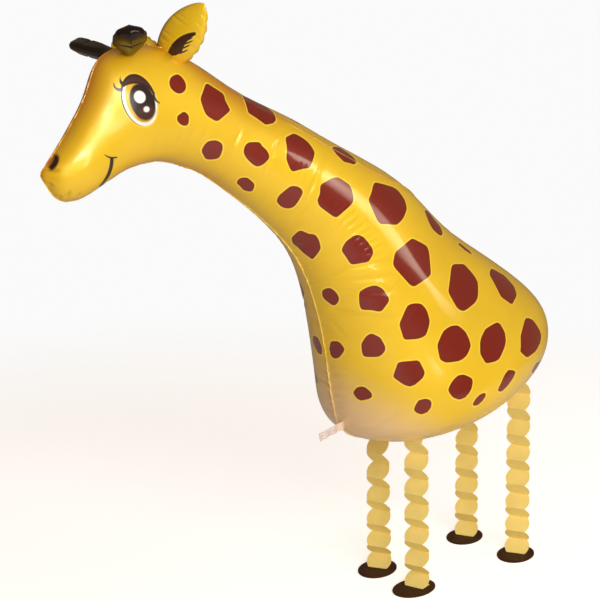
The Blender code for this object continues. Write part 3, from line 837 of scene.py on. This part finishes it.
def spot_distances(tree, points, normals, corner_cut):
    """The smallest distance from any spot's outline, measured flat in each spot's own plane."""
    nearest = np.full(points.shape[:2], 0.05)
    for corners in SPOTS:
        pixels = np.array(corners, float).reshape(-1, 2)
        found = cast(tree, pixels.mean(axis=0))
        if found is None:
            raise RuntimeError(f"the spot at {pixels.mean(axis=0)} is off the envelope")
        centre, normal = found
        side = np.cross(normal, (0, 0, 1))
        side /= np.linalg.norm(side)
        flat = np.stack([side, np.cross(side, normal)])
        places = []
        for pixel in pixels:
            hit = cast(tree, pixel)
            ray = sight(pixel)
            off = (centre - EYE_PLACE) @ normal / (ray @ normal) * ray + EYE_PLACE
            places.append(flat @ ((hit[0] if hit else off) - centre))
        outline = rounded(np.array(places), corner_cut)
        reach = np.linalg.norm(outline, axis=1).max() + 0.02
        close = np.linalg.norm(points - centre, axis=2) < reach * 1.3
        near = close & (normals @ normal > 0.1)
        away = (points[near] - centre) @ flat.T
        nearest[near] = np.minimum(nearest[near], polygon_distance(away, outline))
    return nearest


def crease_depths(tree, points):
    """Sum over creases of depth exp(-(gap / width)^2), the gap being the distance from a line
    of points cast on the foil, with the depth fading to both ends."""
    depths = np.zeros(points.shape[:2])
    share = np.linspace(0, 1, 15)
    for *ends, width, depth in CREASES:
        start, end = np.array(ends, float).reshape(2, 2)
        hits = [cast(tree, pixel) for pixel in start + share[:, None] * (end - start)]
        kept = [(hit[0], s) for hit, s in zip(hits, share) if hit is not None]
        if len(kept) < 3:
            continue
        spots, shares = (np.array(column) for column in zip(*kept))
        centre = spots.mean(axis=0)
        reach = np.linalg.norm(spots - centre, axis=1).max() + 0.012
        near = np.linalg.norm(points - centre, axis=2) < reach
        there = points[near]
        first, way = spots[:-1], np.diff(spots, axis=0)
        away = there[:, None] - first[None]
        part = np.clip((away * way).sum(-1) / np.maximum((way**2).sum(-1), 1e-12), 0, 1)
        gaps = np.linalg.norm(away - part[..., None] * way, axis=-1)
        nearest = gaps.argmin(axis=1)
        row = np.arange(len(there))
        place = shares[nearest] + part[row, nearest] * (shares[1] - shares[0])
        fade = np.sqrt(np.clip(np.sin(math.pi * np.clip(place, 0.02, 0.98)), 0, 1))
        dent = np.exp(-((gaps[row, nearest] / (width / 1000)) ** 2))
        depths[near] += CREASE_GAIN * depth / 1000 * fade * dent
    return depths


def puckers(along, inset, hollow, spacing, deepest, seed):
    """Sum over puckers of depth exp(-((along - place) / width)^2) exp(-(inset / length)^2): more
    and longer ones where the weld curves inwards."""
    draw = np.random.default_rng(seed)
    count = int(along[-1] / spacing)
    place = (np.arange(count) + draw.uniform(0.1, 0.9, count)) * spacing
    width = draw.uniform(0.0024, 0.0052, count)
    here = np.interp(place, along, hollow)
    reach = draw.uniform(0.008, 0.022, count) * (1 + 3.2 * here * draw.uniform(0.2, 1, count))
    depth = deepest * draw.uniform(0.1, 1, count) ** 1.5 * (0.45 + 0.55 * here)
    across = np.exp(-(((along[:, None] - place) / width) ** 2)) * depth
    fade = np.exp(-((inset[:, :, None] / reach) ** 2))
    return np.einsum("ri,rci->rc", across, fade)


def bend_of(curve):
    """Bend of a weld's line at each row, evened out over its neighbours."""
    step = np.gradient(curve, axis=0)
    pace = np.linalg.norm(step, axis=1)
    turn = np.unwrap(np.arctan2(step[:, 1], step[:, 0]))
    bend = np.gradient(turn) / np.maximum(pace, 1e-6)
    kernel = np.hanning(41)
    return np.convolve(bend, kernel / kernel.sum(), mode="same")


def foil_lifts(tree, sizes, share, along, middle, reach, points, runs):
    """How far each point stands out of the smooth rings: a ridge beside both welds, less the
    creases and the puckers, which are shallow on the taut head and deep on the chest."""
    top_hollow = np.clip(bend_of(middle + reach) / FULL_HOLLOW, 0, 1)
    low_hollow = np.clip(-bend_of(middle - reach) / FULL_HOLLOW, 0, 1)
    marks = crease_depths(tree, points[:, : LOW_WELD + 1])
    chest = smooth_step(*DEEP_CHEST_RISE, share) * smooth_step(*DEEP_CHEST_FALL, share)
    chest = (1 + chest)[:, None]
    slack = 0.03 + 0.97 * smooth_step(*TAUT_HEAD_RISE, share)[:, None]
    wide, shallow = sizes.pucker_spacing * 1.6, sizes.pucker_depth * 0.8
    lifts = []
    for seed, from_top in zip((3, 11), runs):
        from_low = from_top[:, -1:] - from_top
        dent = puckers(along, from_top, top_hollow, wide, shallow, seed)
        spacing, depth = sizes.pucker_spacing, sizes.pucker_depth
        dent += puckers(along, from_low, low_hollow, spacing, depth, seed + 1) * chest
        ridge = 0.0009 * (np.exp(-from_top / 0.005) + np.exp(-from_low / 0.005))
        lifts.append(ridge - marks - dent * slack)
    return np.concatenate([lifts[0], lifts[1][:, PANEL_COLUMNS:0:-1]], axis=1)


def raise_welds(sizes, along, seam, points, normals, lift):
    """Moves the points out by their lift, which fades at both ends, and both welds by their
    width: it wavers, and is less where the upper weld lies flat on the side of the neck."""
    fade = smooth_step(0, 0.006, along) * smooth_step(0, 0.006, along[-1] - along)
    lift = lift * fade[:, None]
    flat = 1 - 0.55 * np.clip(seam / math.radians(30), 0, 1)
    for column, seed, lower in ((0, 21, flat), (LOW_WELD, 31, 1)):
        edge = sizes.weld_width + sizes.weld_wave * wander(along, 0.006, seed)
        lift[:, column] = edge * lower * smooth_step(0.0, 0.004, along)
    points = points + normals * lift[..., None]
    points[0], points[-1] = points[0, 0] + NOSE_FIN, points[-1].mean(axis=0)
    return points


def envelope_tints(share, from_top, seen):
    """Shares of amber and cream, the foil's strain, and the distance from the nearer weld, which
    places the painted highlight along it. The cream starts past a slanting line in the picture,
    or near the weld under the belly."""
    from_low = from_top[:, -1:] - from_top
    head = smooth_step(*HEAD_FALL, share)[:, None]
    head = head * (0.35 + 0.65 * smooth_step(*NOSE_RISE, share)[:, None])
    amber = 0.75 * head * np.exp(-((from_top / 0.024) ** 1.2))
    amber += 0.45 * head * np.exp(-from_low / 0.018)
    # Off the head, amber beside the upper weld is painted shade: the brownish shadow along the
    # weld's edge
    amber += 0.30 * (1 - head) * np.exp(-from_top / 0.006)
    slant = seen[..., 1] - 352 - 0.52 * (seen[..., 0] - 322)
    cream = 0.92 * smooth_step(-8, 56, slant) * smooth_step(280, 300, seen[..., 0])
    belly = smooth_step(*BELLY_RISE, share) * smooth_step(*BELLY_FALL, share)
    cream = np.maximum(cream, 0.6 * belly[:, None] * smooth_step(0.050, 0.0, from_low))
    chest = smooth_step(*STRAIN_RISE, share) * smooth_step(*STRAIN_FALL, share)
    strain = 0.02 + 0.1 * (1 - head) + 0.9 * chest[:, None] * np.exp(-((from_low / 0.15) ** 2))
    # The head's weld has no painted highlight line, so it counts as farther away
    weld = np.minimum(from_top, from_low) + 0.004 * head
    return {"amber": amber, "cream": cream, "strain": strain, "weld": weld}


def sharpen_welds(piece, columns, points):
    """Marks the edges that run along both welds and beside them as sharp."""
    edges = np.zeros(len(piece.data.edges) * 2, np.int32)
    piece.data.edges.foreach_get("vertices", edges)
    ends = edges.reshape(-1, 2)
    column = ends % columns
    beside = (0, 1, columns - 1, LOW_WELD - 1, LOW_WELD, LOW_WELD + 1)
    lengthways = (column[:, 0] == column[:, 1]) & (ends.max(axis=1) < points - 2)
    sharp = piece.data.attributes.new("sharp_edge", "BOOLEAN", "EDGE")
    sharp.data.foreach_set("value", lengthways & np.isin(column[:, 0], beside))


def make_envelope(sizes, colours):
    share, along, middle, reach, seam, points, normals = envelope_rings()
    quads, fans = skin(points[1:-1])
    smooth = np.concatenate([points[1:-1].reshape(-1, 3), points[0, :1], points[-1, :1]])
    tree = BVHTree.FromPolygons(smooth.tolist(), quads.tolist() + fans.tolist())
    runs = sheet_runs(points)
    lift = foil_lifts(tree, sizes, share, along, middle, reach, points, runs)
    for column, seed in ((0, 22), (LOW_WELD, 32)):
        points[:, column, 1] += 0.0006 * wander(along, 0.011, seed)  # the welds sway sideways
    sheet, outwards = points[:, : LOW_WELD + 1], normals[:, : LOW_WELD + 1]
    points = raise_welds(sizes, along, seam, points, normals, lift)

    seen = pixels_of(sheet)
    spots = spot_distances(tree, sheet, outwards, sizes.spot_corner)
    values = {"spot": spots, **envelope_tints(share, runs[0], seen)}
    # The right sheet takes its print from the column of the left one that it mirrors
    twin = np.concatenate([np.arange(LOW_WELD + 1), np.arange(PANEL_COLUMNS, 0, -1)])
    values = {label: with_poles(value[:, twin], 1) for label, value in values.items()}
    length_along = np.repeat(along[:, None], LOW_WELD + 1, axis=1)
    picture = [with_poles(seen[:, twin, axis], 1) / PICTURE for axis in (0, 1)]
    lay = [with_poles(value[:, twin], 1) for value in (length_along, runs[0])]
    maps = {"picture": np.stack(picture, axis=-1), "sheet": np.stack(lay, axis=-1)}
    flat = np.concatenate([points[1:-1].reshape(-1, 3), points[0, :1], points[-1, :1]])
    piece = make_piece("envelope", flat, quads, fans, values, maps)
    sharpen_welds(piece, len(twin), len(flat))
    foil = printed_foil("printed metallised foil", colours, sizes, envelope_print)
    settle(piece, foil, "printed_foil", "balloon_body")


# ---------------------------------------------------------------- ears and horns
def ear_outline(s):
    """Half width and half depth along an ear: a leaf, cut off at its base, with a pointed tip."""
    swell = np.maximum(np.sin(math.pi * (0.18 + 0.82 * s)), 0)
    return EAR_WIDTH / 2 * swell**0.65, EAR_DEPTH / 2 * swell**0.7


def horn_outline(s):
    """Half width and half depth along a horn: a stem that swells into a rounded pad."""
    swell = HORN_STEM + (1 - HORN_STEM) * smooth_step(0, 0.55, s)
    end = np.sqrt(np.clip(1 - np.clip((s - 0.5) / 0.5, 0, 1) ** 7, 0, 1))
    return HORN_WIDTH / 2 * swell * end, HORN_DEPTH / 2 * np.sqrt(swell) * end


def ear_dents(s, turn):
    """Puckers that run in from both edges, as shares of the depth."""
    s, edge = s[:, None], np.abs(np.cos(turn))[None]
    dents = np.zeros((len(s), len(turn)))
    for place, width, depth, side in EAR_PUCKERS:
        here = np.clip(np.cos(turn)[None] * side, 0, 1)
        dents += depth * np.exp(-(((s - place - 0.05 * (1 - edge)) / width) ** 2)) * here**1.5
    return np.clip(dents, 0, 0.8)


def horn_dents(s, turn):
    """Flat facets: the pad's round is cut back towards a hexagon, with one crease across it."""
    sixth = math.pi / 3
    flat = 1 - math.cos(sixth / 2) / np.cos(np.mod(turn + sixth / 2, sixth) - sixth / 2)
    crease = 0.10 * np.exp(-(((s[:, None] - 0.66) / 0.02) ** 2)) * np.abs(np.sin(turn))[None]
    return flat[None] * 1.3 * smooth_step(0.2, 0.5, s)[:, None] + crease


def pillow_rings(base, tip, facing, outline, rim, scallop, dents, extent):
    """base + extent s (tip - base) + width cos(turn) across + depth |sin(turn)|^1.2 outwards,
    less the dents, with a thin welded rim where the turn is nought or half."""
    along = (tip - base) / np.linalg.norm(tip - base)
    across = np.cross(facing, along)
    across /= np.linalg.norm(across)
    outwards = np.cross(along, across)
    even = np.linspace(0, 1, PAD_ROWS + 1)
    s = (even + np.sin(math.pi / 2 * even)) / 2
    width, depth = outline(s)
    half_turn = np.linspace(0, math.pi, PAD_SIDES // 2 + 1)
    half_turn[[1, -2]] = 0.05, math.pi - 0.05  # the rim's foot lies close to the weld
    turn = np.concatenate([half_turn, math.pi + half_turn[1:-1]])
    bulge = np.sign(np.sin(turn)) * np.abs(np.sin(turn)) ** 1.2
    depths = depth[:, None] * bulge * (1 - dents(s, turn))
    fade = smooth_step(0, 0.05, s) * smooth_step(1.0, 0.85, s)
    spread = (width - fade * rim)[:, None] * np.cos(turn)
    spread[:, 0] += fade * rim
    waves = np.abs(np.sin(6 * math.pi * s + 0.6)) - 0.5
    spread[:, PAD_SIDES // 2] -= fade * (rim + scallop * waves)
    middle = base + extent * s[:, None, None] * (tip - base)
    return middle + spread[..., None] * across + depths[..., None] * outwards, s, turn


def make_pads(pads, shape, material, slot, tints):
    """Welded pillows; the left one's print is used for both, with values along each by s."""
    printed_as = None
    for name, (base, tip, facing) in pads.items():
        base, tip = np.array(base) * THOUSANDTH, np.array(tip) * THOUSANDTH
        rings, s, turn = pillow_rings(base, tip, facing, *shape)
        if printed_as is None:
            printed_as = pixels_of(rings)
        long = np.repeat((s * np.linalg.norm(tip - base))[:, None], len(turn), axis=1)
        wide = np.repeat(np.abs(turn - math.pi)[None] * 0.01, len(s), axis=0)
        picture = [with_poles(printed_as[..., axis], 0) / PICTURE for axis in (0, 1)]
        lay = [with_poles(value, 0) for value in (wide, long)]
        maps = {"picture": np.stack(picture, axis=-1), "sheet": np.stack(lay, axis=-1)}
        values = {
            label: with_poles(np.repeat(tint(s)[:, None], len(turn), axis=1), 0)
            for label, tint in tints.items()
        }
        ends = [rings[0].mean(axis=0), rings[-1].mean(axis=0)]
        points = np.concatenate([rings[:-1].reshape(-1, 3), ends])
        piece = make_piece(name + "_foil", points, *skin(rings[:-1]), values, maps)
        settle(piece, material, slot, name)


# ---------------------------------------------------------------- legs, feet and tail
def facing(degrees):
    """The level direction in which a strip faces, turned from straight ahead to the left."""
    turn = np.radians(degrees)
    return np.stack([-np.cos(turn), -np.sin(turn), np.zeros_like(turn)], axis=-1)


def body_tree():
    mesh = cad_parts["balloon_body"].data
    faces = [list(face.vertices) for face in mesh.polygons]
    return BVHTree.FromPolygons([vertex.co for vertex in mesh.vertices], faces)


def belly_heights(tree, spots):
    """Height under the belly over each spot, less the room for glue and half a card."""
    hits = [tree.ray_cast(Vector((x, y, 0)), Vector((0, 0, 1)))[:2] for x, y, _ in spots]
    return np.array([spot.z - (BELLY_GLUE + CARD / 2) / abs(normal.z) for spot, normal in hits])


def swing(drop):
    """How far a face reaches forwards when it falls by the drop."""
    return np.sqrt(np.maximum(FACE_LENGTH**2 - drop**2, 0))


def strip_rows(spots, ways, half_width):
    """Rows of points across a strip, square to the ways that it faces."""
    across = np.stack([-ways[..., 1], ways[..., 0], 0 * ways[..., 0]], axis=-1)
    sides = np.linspace(-1, 1, STRIP_COLUMNS)[None, :, None]
    return spots[:, None] + across[:, None] * half_width[:, None, None] * sides


def leg_sheet(tree, foot_x, foot_y, turn_low, turn_high):
    """Rows of points across a leg's strip: a tab along the belly, faces folded to and fro whose
    edges swell between the folds, and a tab on the foot."""
    foot = np.array((foot_x, foot_y, 0)) * THOUSANDTH
    low = FOOT_CARD + GLUE_GAP + CARD / 2
    lean = np.array((-LEG_LEAN, 0, 0))

    reach = belly_heights(tree, (foot + lean)[None])[0] - low
    faces = 2 * round(reach / (2 * PLEAT_DROP))
    drop = reach / faces
    middle = foot - facing(np.float64(turn_low)) * swing(drop * (1 - PLEAT_STRETCH)) / 2
    forward = facing(np.float64(turn_high))
    top = middle + lean + forward * swing(drop * (1 + PLEAT_STRETCH)) / 2
    steps = np.linspace(0, TAB_LENGTH, FACE_ROWS + 1)
    half_fold = np.full(len(steps), FOLD_WIDTH / 2)
    level = np.repeat(forward[None], len(steps), axis=0)
    glued = strip_rows(top - forward * steps[:, None], level, half_fold)
    glued[..., 2] = belly_heights(tree, glued.reshape(-1, 3)).reshape(glued.shape[:2])
    high = glued[0, :, 2].min() - FOLD_ROOM

    step = np.arange(faces * FACE_ROWS + 1)
    share = step / step[-1]
    face, within = np.divmod(step, FACE_ROWS)
    within = within / FACE_ROWS
    forwards = np.where(face % 2 == 0, 1 - 2 * within, 2 * within - 1)
    ways = facing(turn_high + (turn_low - turn_high) * share)
    stretch = 1 + PLEAT_STRETCH * (1 - 2 * share)
    fallen = share + PLEAT_STRETCH * (share - share**2)
    swell = np.sin(math.pi * within) ** 0.8
    half_width = (FOLD_WIDTH + (STRIP_WIDTH - FOLD_WIDTH) * swell) / 2
    spots = middle + lean * (1 - share[:, None])
    spots = spots + ways * (forwards * swing(drop * stretch) / 2)[:, None]
    pleats = strip_rows(spots, ways, half_width)
    pleats[..., 2] = (high + (low - high) * fallen)[:, None]

    level = np.repeat(ways[-1:], len(steps) - 1, axis=0)
    under = strip_rows(spots[-1] - ways[-1] * steps[1:, None], level, half_fold[1:])
    under[..., 2] = low
    return np.concatenate([glued[:0:-1], pleats, under])


def make_leg(name, tree, spec, material):
    foot_x, foot_y, _, turn_low, turn_high = spec
    rows = leg_sheet(tree, foot_x, foot_y, turn_low, turn_high)
    piece = make_piece("pleats_" + name, rows.reshape(-1, 3), strip(*rows.shape[:2]))
    thicken(piece, "card thickness", CARD)
    piece.data.shade_flat()
    settle(piece, material, "yellow_card", "leg_" + name)


def make_foot(name, spec, bevel, material):
    """An oval card: rings at the bottom, up the cut edge, over its rounding and on the top."""
    foot_x, foot_y, degrees, _, _ = spec
    turn = np.linspace(0, 2 * math.pi, FOOT_SIDES, endpoint=False)
    inset = np.array([bevel, 0.3 * bevel, 0, 0, 0.3 * bevel, bevel, 0.012, 0.022])
    rise = np.array([0, 0.3 * bevel, bevel])
    height = np.concatenate([rise, FOOT_CARD - rise[::-1], [FOOT_CARD, FOOT_CARD]])
    rings = np.zeros((len(inset), len(turn), 3))
    rings[..., 0] = (FOOT_LENGTH / 2 - inset)[:, None] * np.cos(turn)
    rings[..., 1] = (FOOT_WIDTH / 2 - inset)[:, None] * np.sin(turn)
    rings[..., 2] = height[:, None]
    ends = np.array(((0, 0, 0), (0, 0, FOOT_CARD)))
    turned = np.array(Matrix.Rotation(math.radians(degrees), 3, "Z"))
    centre = np.array((foot_x, foot_y, 0)) * THOUSANDTH
    points = np.concatenate([rings.reshape(-1, 3), ends]) @ turned.T + centre
    piece = make_piece("card_" + name, points, *skin(rings))
    settle(piece, material, "brown_card", "foot_" + name)


def make_tail(inks):
    """The filler tail: a strip of film from the weld's corner, flared where it leaves the foil,
    its long edges and its end rippled."""
    low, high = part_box("filler_tail")
    along = np.array((-math.cos(TAIL_SLOPE), 0, -math.sin(TAIL_SLOPE)))
    across = np.array((math.sin(TAIL_SLOPE), 0, -math.cos(TAIL_SLOPE)))
    middle = np.array(((low.x + high.x) / 2, 0, (low.z + high.z) / 2))
    share = np.linspace(-0.5, 0.5, FILM_ROWS)[:, None]
    side = np.linspace(-0.5, 0.5, FILM_COLUMNS)[None]
    narrowed = 0.96 - 0.12 * np.sin(math.pi * (share + 0.5)) + 0.03 * np.sin(share * 34)
    spread = side * TAIL_WIDTH * narrowed
    points = middle + along * (share * TAIL_LENGTH)[..., None] + across * spread[..., None]
    points[..., 1] += 0.0009 * np.sin(share * 21) * (1 + side)
    points[..., 1] += 0.0005 * np.sin(side * 26) * (share + 0.5)
    points[..., 0] = np.clip(points[..., 0], low.x - 0.002, high.x + 0.001)
    lay = np.broadcast_arrays((share + 0.5) * TAIL_LENGTH, side * TAIL_WIDTH)
    maps = {"sheet": np.stack(lay, axis=-1).reshape(-1, 2)}
    quads = strip(FILM_ROWS, FILM_COLUMNS)
    piece = make_piece("tail_film", points.reshape(-1, 3), quads, maps=maps)
    thicken(piece, "film thickness", 0.0004)
    settle(piece, film_material(inks), "clear_film", "filler_tail")


# ---------------------------------------------------------------- stage
def make_floor():
    """A round pale floor of matt studio paper, which fades out into the backdrop."""
    turn = np.linspace(0, 2 * math.pi, 128, endpoint=False)
    radius = np.linspace(0.05, 1, 24)[:, None] ** 1.5 * 6
    rings = np.broadcast_arrays(radius * np.cos(turn), radius * np.sin(turn), 0.0)
    rings = np.stack(rings, axis=-1)
    quads, fans = skin(rings)
    points = np.concatenate([rings.reshape(-1, 3), [(0, 0, 0)]])
    mesh = bpy.data.meshes.new("floor")
    mesh.from_pydata(points.tolist(), [], quads.tolist() + fans[: len(turn)].tolist())
    piece = bpy.data.objects.new("floor", mesh)
    bpy.context.scene.collection.objects.link(piece)
    material, tree = new_material("matt white studio paper")
    place = add(tree, "TexCoord").outputs["Object"]
    felt = add(tree, "TexNoise", {"Vector": place, "Scale": 300.0, "Detail": 3.0})
    tone = add(tree, "MapRange", {"Value": felt, "To Min": 0.90, "To Max": 0.94})
    straight = add(tree, "LightPath").outputs["Is Camera Ray"]
    lit = add(tree, "Math", {0: straight, 1: 0.6}, operation="MULTIPLY")
    paper = {"Base Color": tone, "Roughness": 0.9}
    paper |= {"Emission Color": (1, 1, 1, 1), "Emission Strength": lit}
    paper = add(tree, "BsdfPrincipled", paper)
    far = add(tree, "VectorMath", {0: place}, operation="LENGTH").outputs["Value"]
    gone = {"Value": far, "From Min": 0.9, "From Max": 2.4}
    gone = add(tree, "MapRange", gone, interpolation_type="SMOOTHSTEP")
    fading = add(tree, "MixShader", {0: gone, 1: paper, 2: add(tree, "BsdfTransparent")})
    add(tree, "OutputMaterial", {"Surface": fading})
    mesh.materials.append(material)


def make_world():
    """A pale backdrop for the camera, and a dim warm room in the reflections."""
    world = bpy.data.worlds.new("pale studio")
    world.use_nodes = True
    tree = world.node_tree
    tree.nodes.clear()
    place = add(tree, "TexCoord").outputs["Generated"]
    height = add(tree, "SeparateXYZ", {0: place}).outputs[2]
    rise = add(tree, "MapRange", {"Value": height, "From Min": -0.5, "From Max": 0.9})
    tone = {0: rise, 6: (0.22, 0.14, 0.08, 1), 7: (0.28, 0.22, 0.16, 1)}
    tone = add(tree, "Mix", tone, data_type="RGBA").outputs[2]
    room = add(tree, "Background", {"Color": tone, "Strength": 1.0})
    backdrop = add(tree, "Background", {"Color": (0.96, 0.96, 0.96, 1), "Strength": 1.0})
    straight = add(tree, "LightPath").outputs["Is Camera Ray"]
    seen = add(tree, "MixShader", {0: straight, 1: room, 2: backdrop})
    add(tree, "OutputWorld", {"Surface": seen})
    return world


def make_light(name, place, aim, size, power, colour, spread=180, along=None):
    """An area light that faces its aim, its long side laid along a direction or else level."""
    back = (Vector(place) - Vector(aim)).normalized()
    up = back.cross(Vector(along) if along else Vector((0, 0, 1)).cross(back)).normalized()
    lamp = bpy.data.lights.new(name, "AREA")
    lamp.shape = "RECTANGLE"
    lamp.size, lamp.size_y = size
    lamp.energy = power
    lamp.color = colour
    lamp.spread = math.radians(spread)
    piece = bpy.data.objects.new(name, lamp)
    turned = Matrix((up.cross(back), up, back)).transposed().to_4x4()
    piece.matrix_world = Matrix.Translation(Vector(place)) @ turned
    bpy.context.scene.collection.objects.link(piece)
    return piece


def make_stage():
    """Floor, backdrop, lights and camera. Two softboxes light the foil without showing in it,
    and three small ones only show in it, as the streaks on the neck, the cheek and the muzzle."""
    scene = bpy.context.scene
    scene.view_settings.view_transform = "Standard"
    make_floor()
    scene.world = make_world()
    for lamp in (
        ("front softbox", (-1.1, -3.45, 1.4), (0.05, 0, 0.5), (3.2, 2.6), 130, (1.0, 0.98, 0.95)),
        ("side softbox", (2.4, -2.0, 1.1), (0.2, 0, 0.5), (2.0, 2.0), 24, (1.0, 0.96, 0.92)),
    ):
        make_light(*lamp).visible_glossy = False
    for lamp in (
        ("neck softbox", (0.58, -0.72, 0.74), (-0.05, -0.06, 0.63), (0.24, 0.24), 0.024,
         (1.0, 0.88, 0.72), 24),
        ("cheek strip", (0.0, -1.56, 0.72), (-0.37, -0.03, 0.72), (0.58, 0.2), 0.17,
         (1, 1, 1), 50, (0.2, 0, -0.55)),
        ("muzzle strip", (-0.53, -1.5, 1.12), (-0.41, -0.03, 0.70), (1.0, 0.2), 0.75,
         (1, 1, 1), 50, (1.15, -0.1, -0.48)),
    ):
        make_light(*lamp).visible_diffuse = False

    lens = bpy.data.cameras.new("camera")
    lens.sensor_width = 36
    lens.lens = lens.sensor_width / 2 / math.tan(VIEW_ANGLE / 2)
    lens.clip_start = 0.05
    camera = bpy.data.objects.new("camera", lens)
    axes = np.stack([EYE_RIGHT, EYE_UP, -EYE_AHEAD], axis=1)
    camera.matrix_world = Matrix.Translation(Vector(EYE_PLACE)) @ Matrix(axes.tolist()).to_4x4()
    scene.collection.objects.link(camera)
    scene.camera = camera


# ---------------------------------------------------------------- operators
class GIRAFFE_OT_envelope(bpy.types.Operator):
    """Makes the welded and printed envelope: head, neck and body"""

    bl_idname = "giraffe.envelope"
    bl_label = "Envelope"

    def execute(self, context):
        make_envelope(context.scene.giraffe_sizes, context.scene.giraffe_colours)
        return {"FINISHED"}


class GIRAFFE_OT_ears(bpy.types.Operator):
    """Makes the two inflated ears"""

    bl_idname = "giraffe.ears"
    bl_label = "Ears"

    def execute(self, context):
        sizes, colours = context.scene.giraffe_sizes, context.scene.giraffe_colours
        foil = printed_foil("printed ear foil", colours, sizes, ear_print)
        shape = ear_outline, sizes.ear_rim, 0.0018, ear_dents, 0.97
        tints = {"amber": lambda s: 0.75 * np.exp(-s / 0.12), "strain": lambda s: 0.1 + 0 * s}
        make_pads(EARS, shape, foil, "printed_foil", tints)
        return {"FINISHED"}


class GIRAFFE_OT_horns(bpy.types.Operator):
    """Makes the two inflated horns"""

    bl_idname = "giraffe.horns"
    bl_label = "Horns"

    def execute(self, context):
        sizes, colours = context.scene.giraffe_sizes, context.scene.giraffe_colours
        foil = printed_foil("black-brown horn foil", colours, sizes, horn_print, 0.1, 0.2)
        shape = horn_outline, sizes.horn_rim, 0.0, horn_dents, 0.96
        tints = {"root": lambda s: smooth_step(0.36, 0.08, s), "strain": lambda s: 0.1 + 0 * s}
        make_pads(HORNS, shape, foil, "dark_foil", tints)
        return {"FINISHED"}


class GIRAFFE_OT_legs(bpy.types.Operator):
    """Makes the four pleated card legs"""

    bl_idname = "giraffe.legs"
    bl_label = "Legs"

    def execute(self, context):
        colours = context.scene.giraffe_colours
        card = card_material("pale yellow card", colours.card, 900.0, 0.05)
        tree = body_tree()
        for name, spec in LEGS.items():
            make_leg(name, tree, spec, card)
        return {"FINISHED"}


class GIRAFFE_OT_feet(bpy.types.Operator):
    """Makes the four oval card feet"""

    bl_idname = "giraffe.feet"
    bl_label = "Feet"

    def execute(self, context):
        sizes, colours = context.scene.giraffe_sizes, context.scene.giraffe_colours
        card = card_material("dark brown card", colours.foot, 700.0, 0.18)
        for name, spec in LEGS.items():
            make_foot(name, spec, sizes.foot_bevel, card)
        return {"FINISHED"}


class GIRAFFE_OT_tail(bpy.types.Operator):
    """Makes the clear filler tail"""

    bl_idname = "giraffe.tail"
    bl_label = "Filler tail"

    def execute(self, context):
        make_tail(context.scene.giraffe_colours)
        return {"FINISHED"}


class GIRAFFE_OT_stage(bpy.types.Operator):
    """Makes the floor, the lights and the camera"""

    bl_idname = "giraffe.stage"
    bl_label = "Stage"

    def execute(self, context):
        make_stage()
        return {"FINISHED"}


class GIRAFFE_PT_panel(bpy.types.Panel):
    """Sizes, colours and makers of the giraffe balloon"""

    bl_idname = "GIRAFFE_PT_panel"
    bl_label = "Giraffe Balloon"
    bl_space_type = "VIEW_3D"
    bl_region_type = "UI"
    bl_category = "Giraffe Balloon"

    def draw(self, context):
        layout = self.layout
        for group in (context.scene.giraffe_sizes, context.scene.giraffe_colours):
            box = layout.box()
            for name in group.__annotations__:
                box.prop(group, name)
        for maker in MAKERS:
            layout.operator(maker.bl_idname)


MAKERS = (
    GIRAFFE_OT_envelope,
    GIRAFFE_OT_ears,
    GIRAFFE_OT_horns,
    GIRAFFE_OT_legs,
    GIRAFFE_OT_feet,
    GIRAFFE_OT_tail,
    GIRAFFE_OT_stage,
)
CLASSES = (GiraffeSizes, GiraffeColours, *MAKERS, GIRAFFE_PT_panel)


def register():
    for kind in CLASSES:
        bpy.utils.register_class(kind)
    bpy.types.Scene.giraffe_sizes = PointerProperty(type=GiraffeSizes)
    bpy.types.Scene.giraffe_colours = PointerProperty(type=GiraffeColours)


def unregister():
    del bpy.types.Scene.giraffe_colours
    del bpy.types.Scene.giraffe_sizes
    for kind in reversed(CLASSES):
        bpy.utils.unregister_class(kind)


def main():
    register()
    for maker in MAKERS:
        group, name = maker.bl_idname.split(".")
        getattr(getattr(bpy.ops, group), name)()


if __name__ == "__main__":
    main()
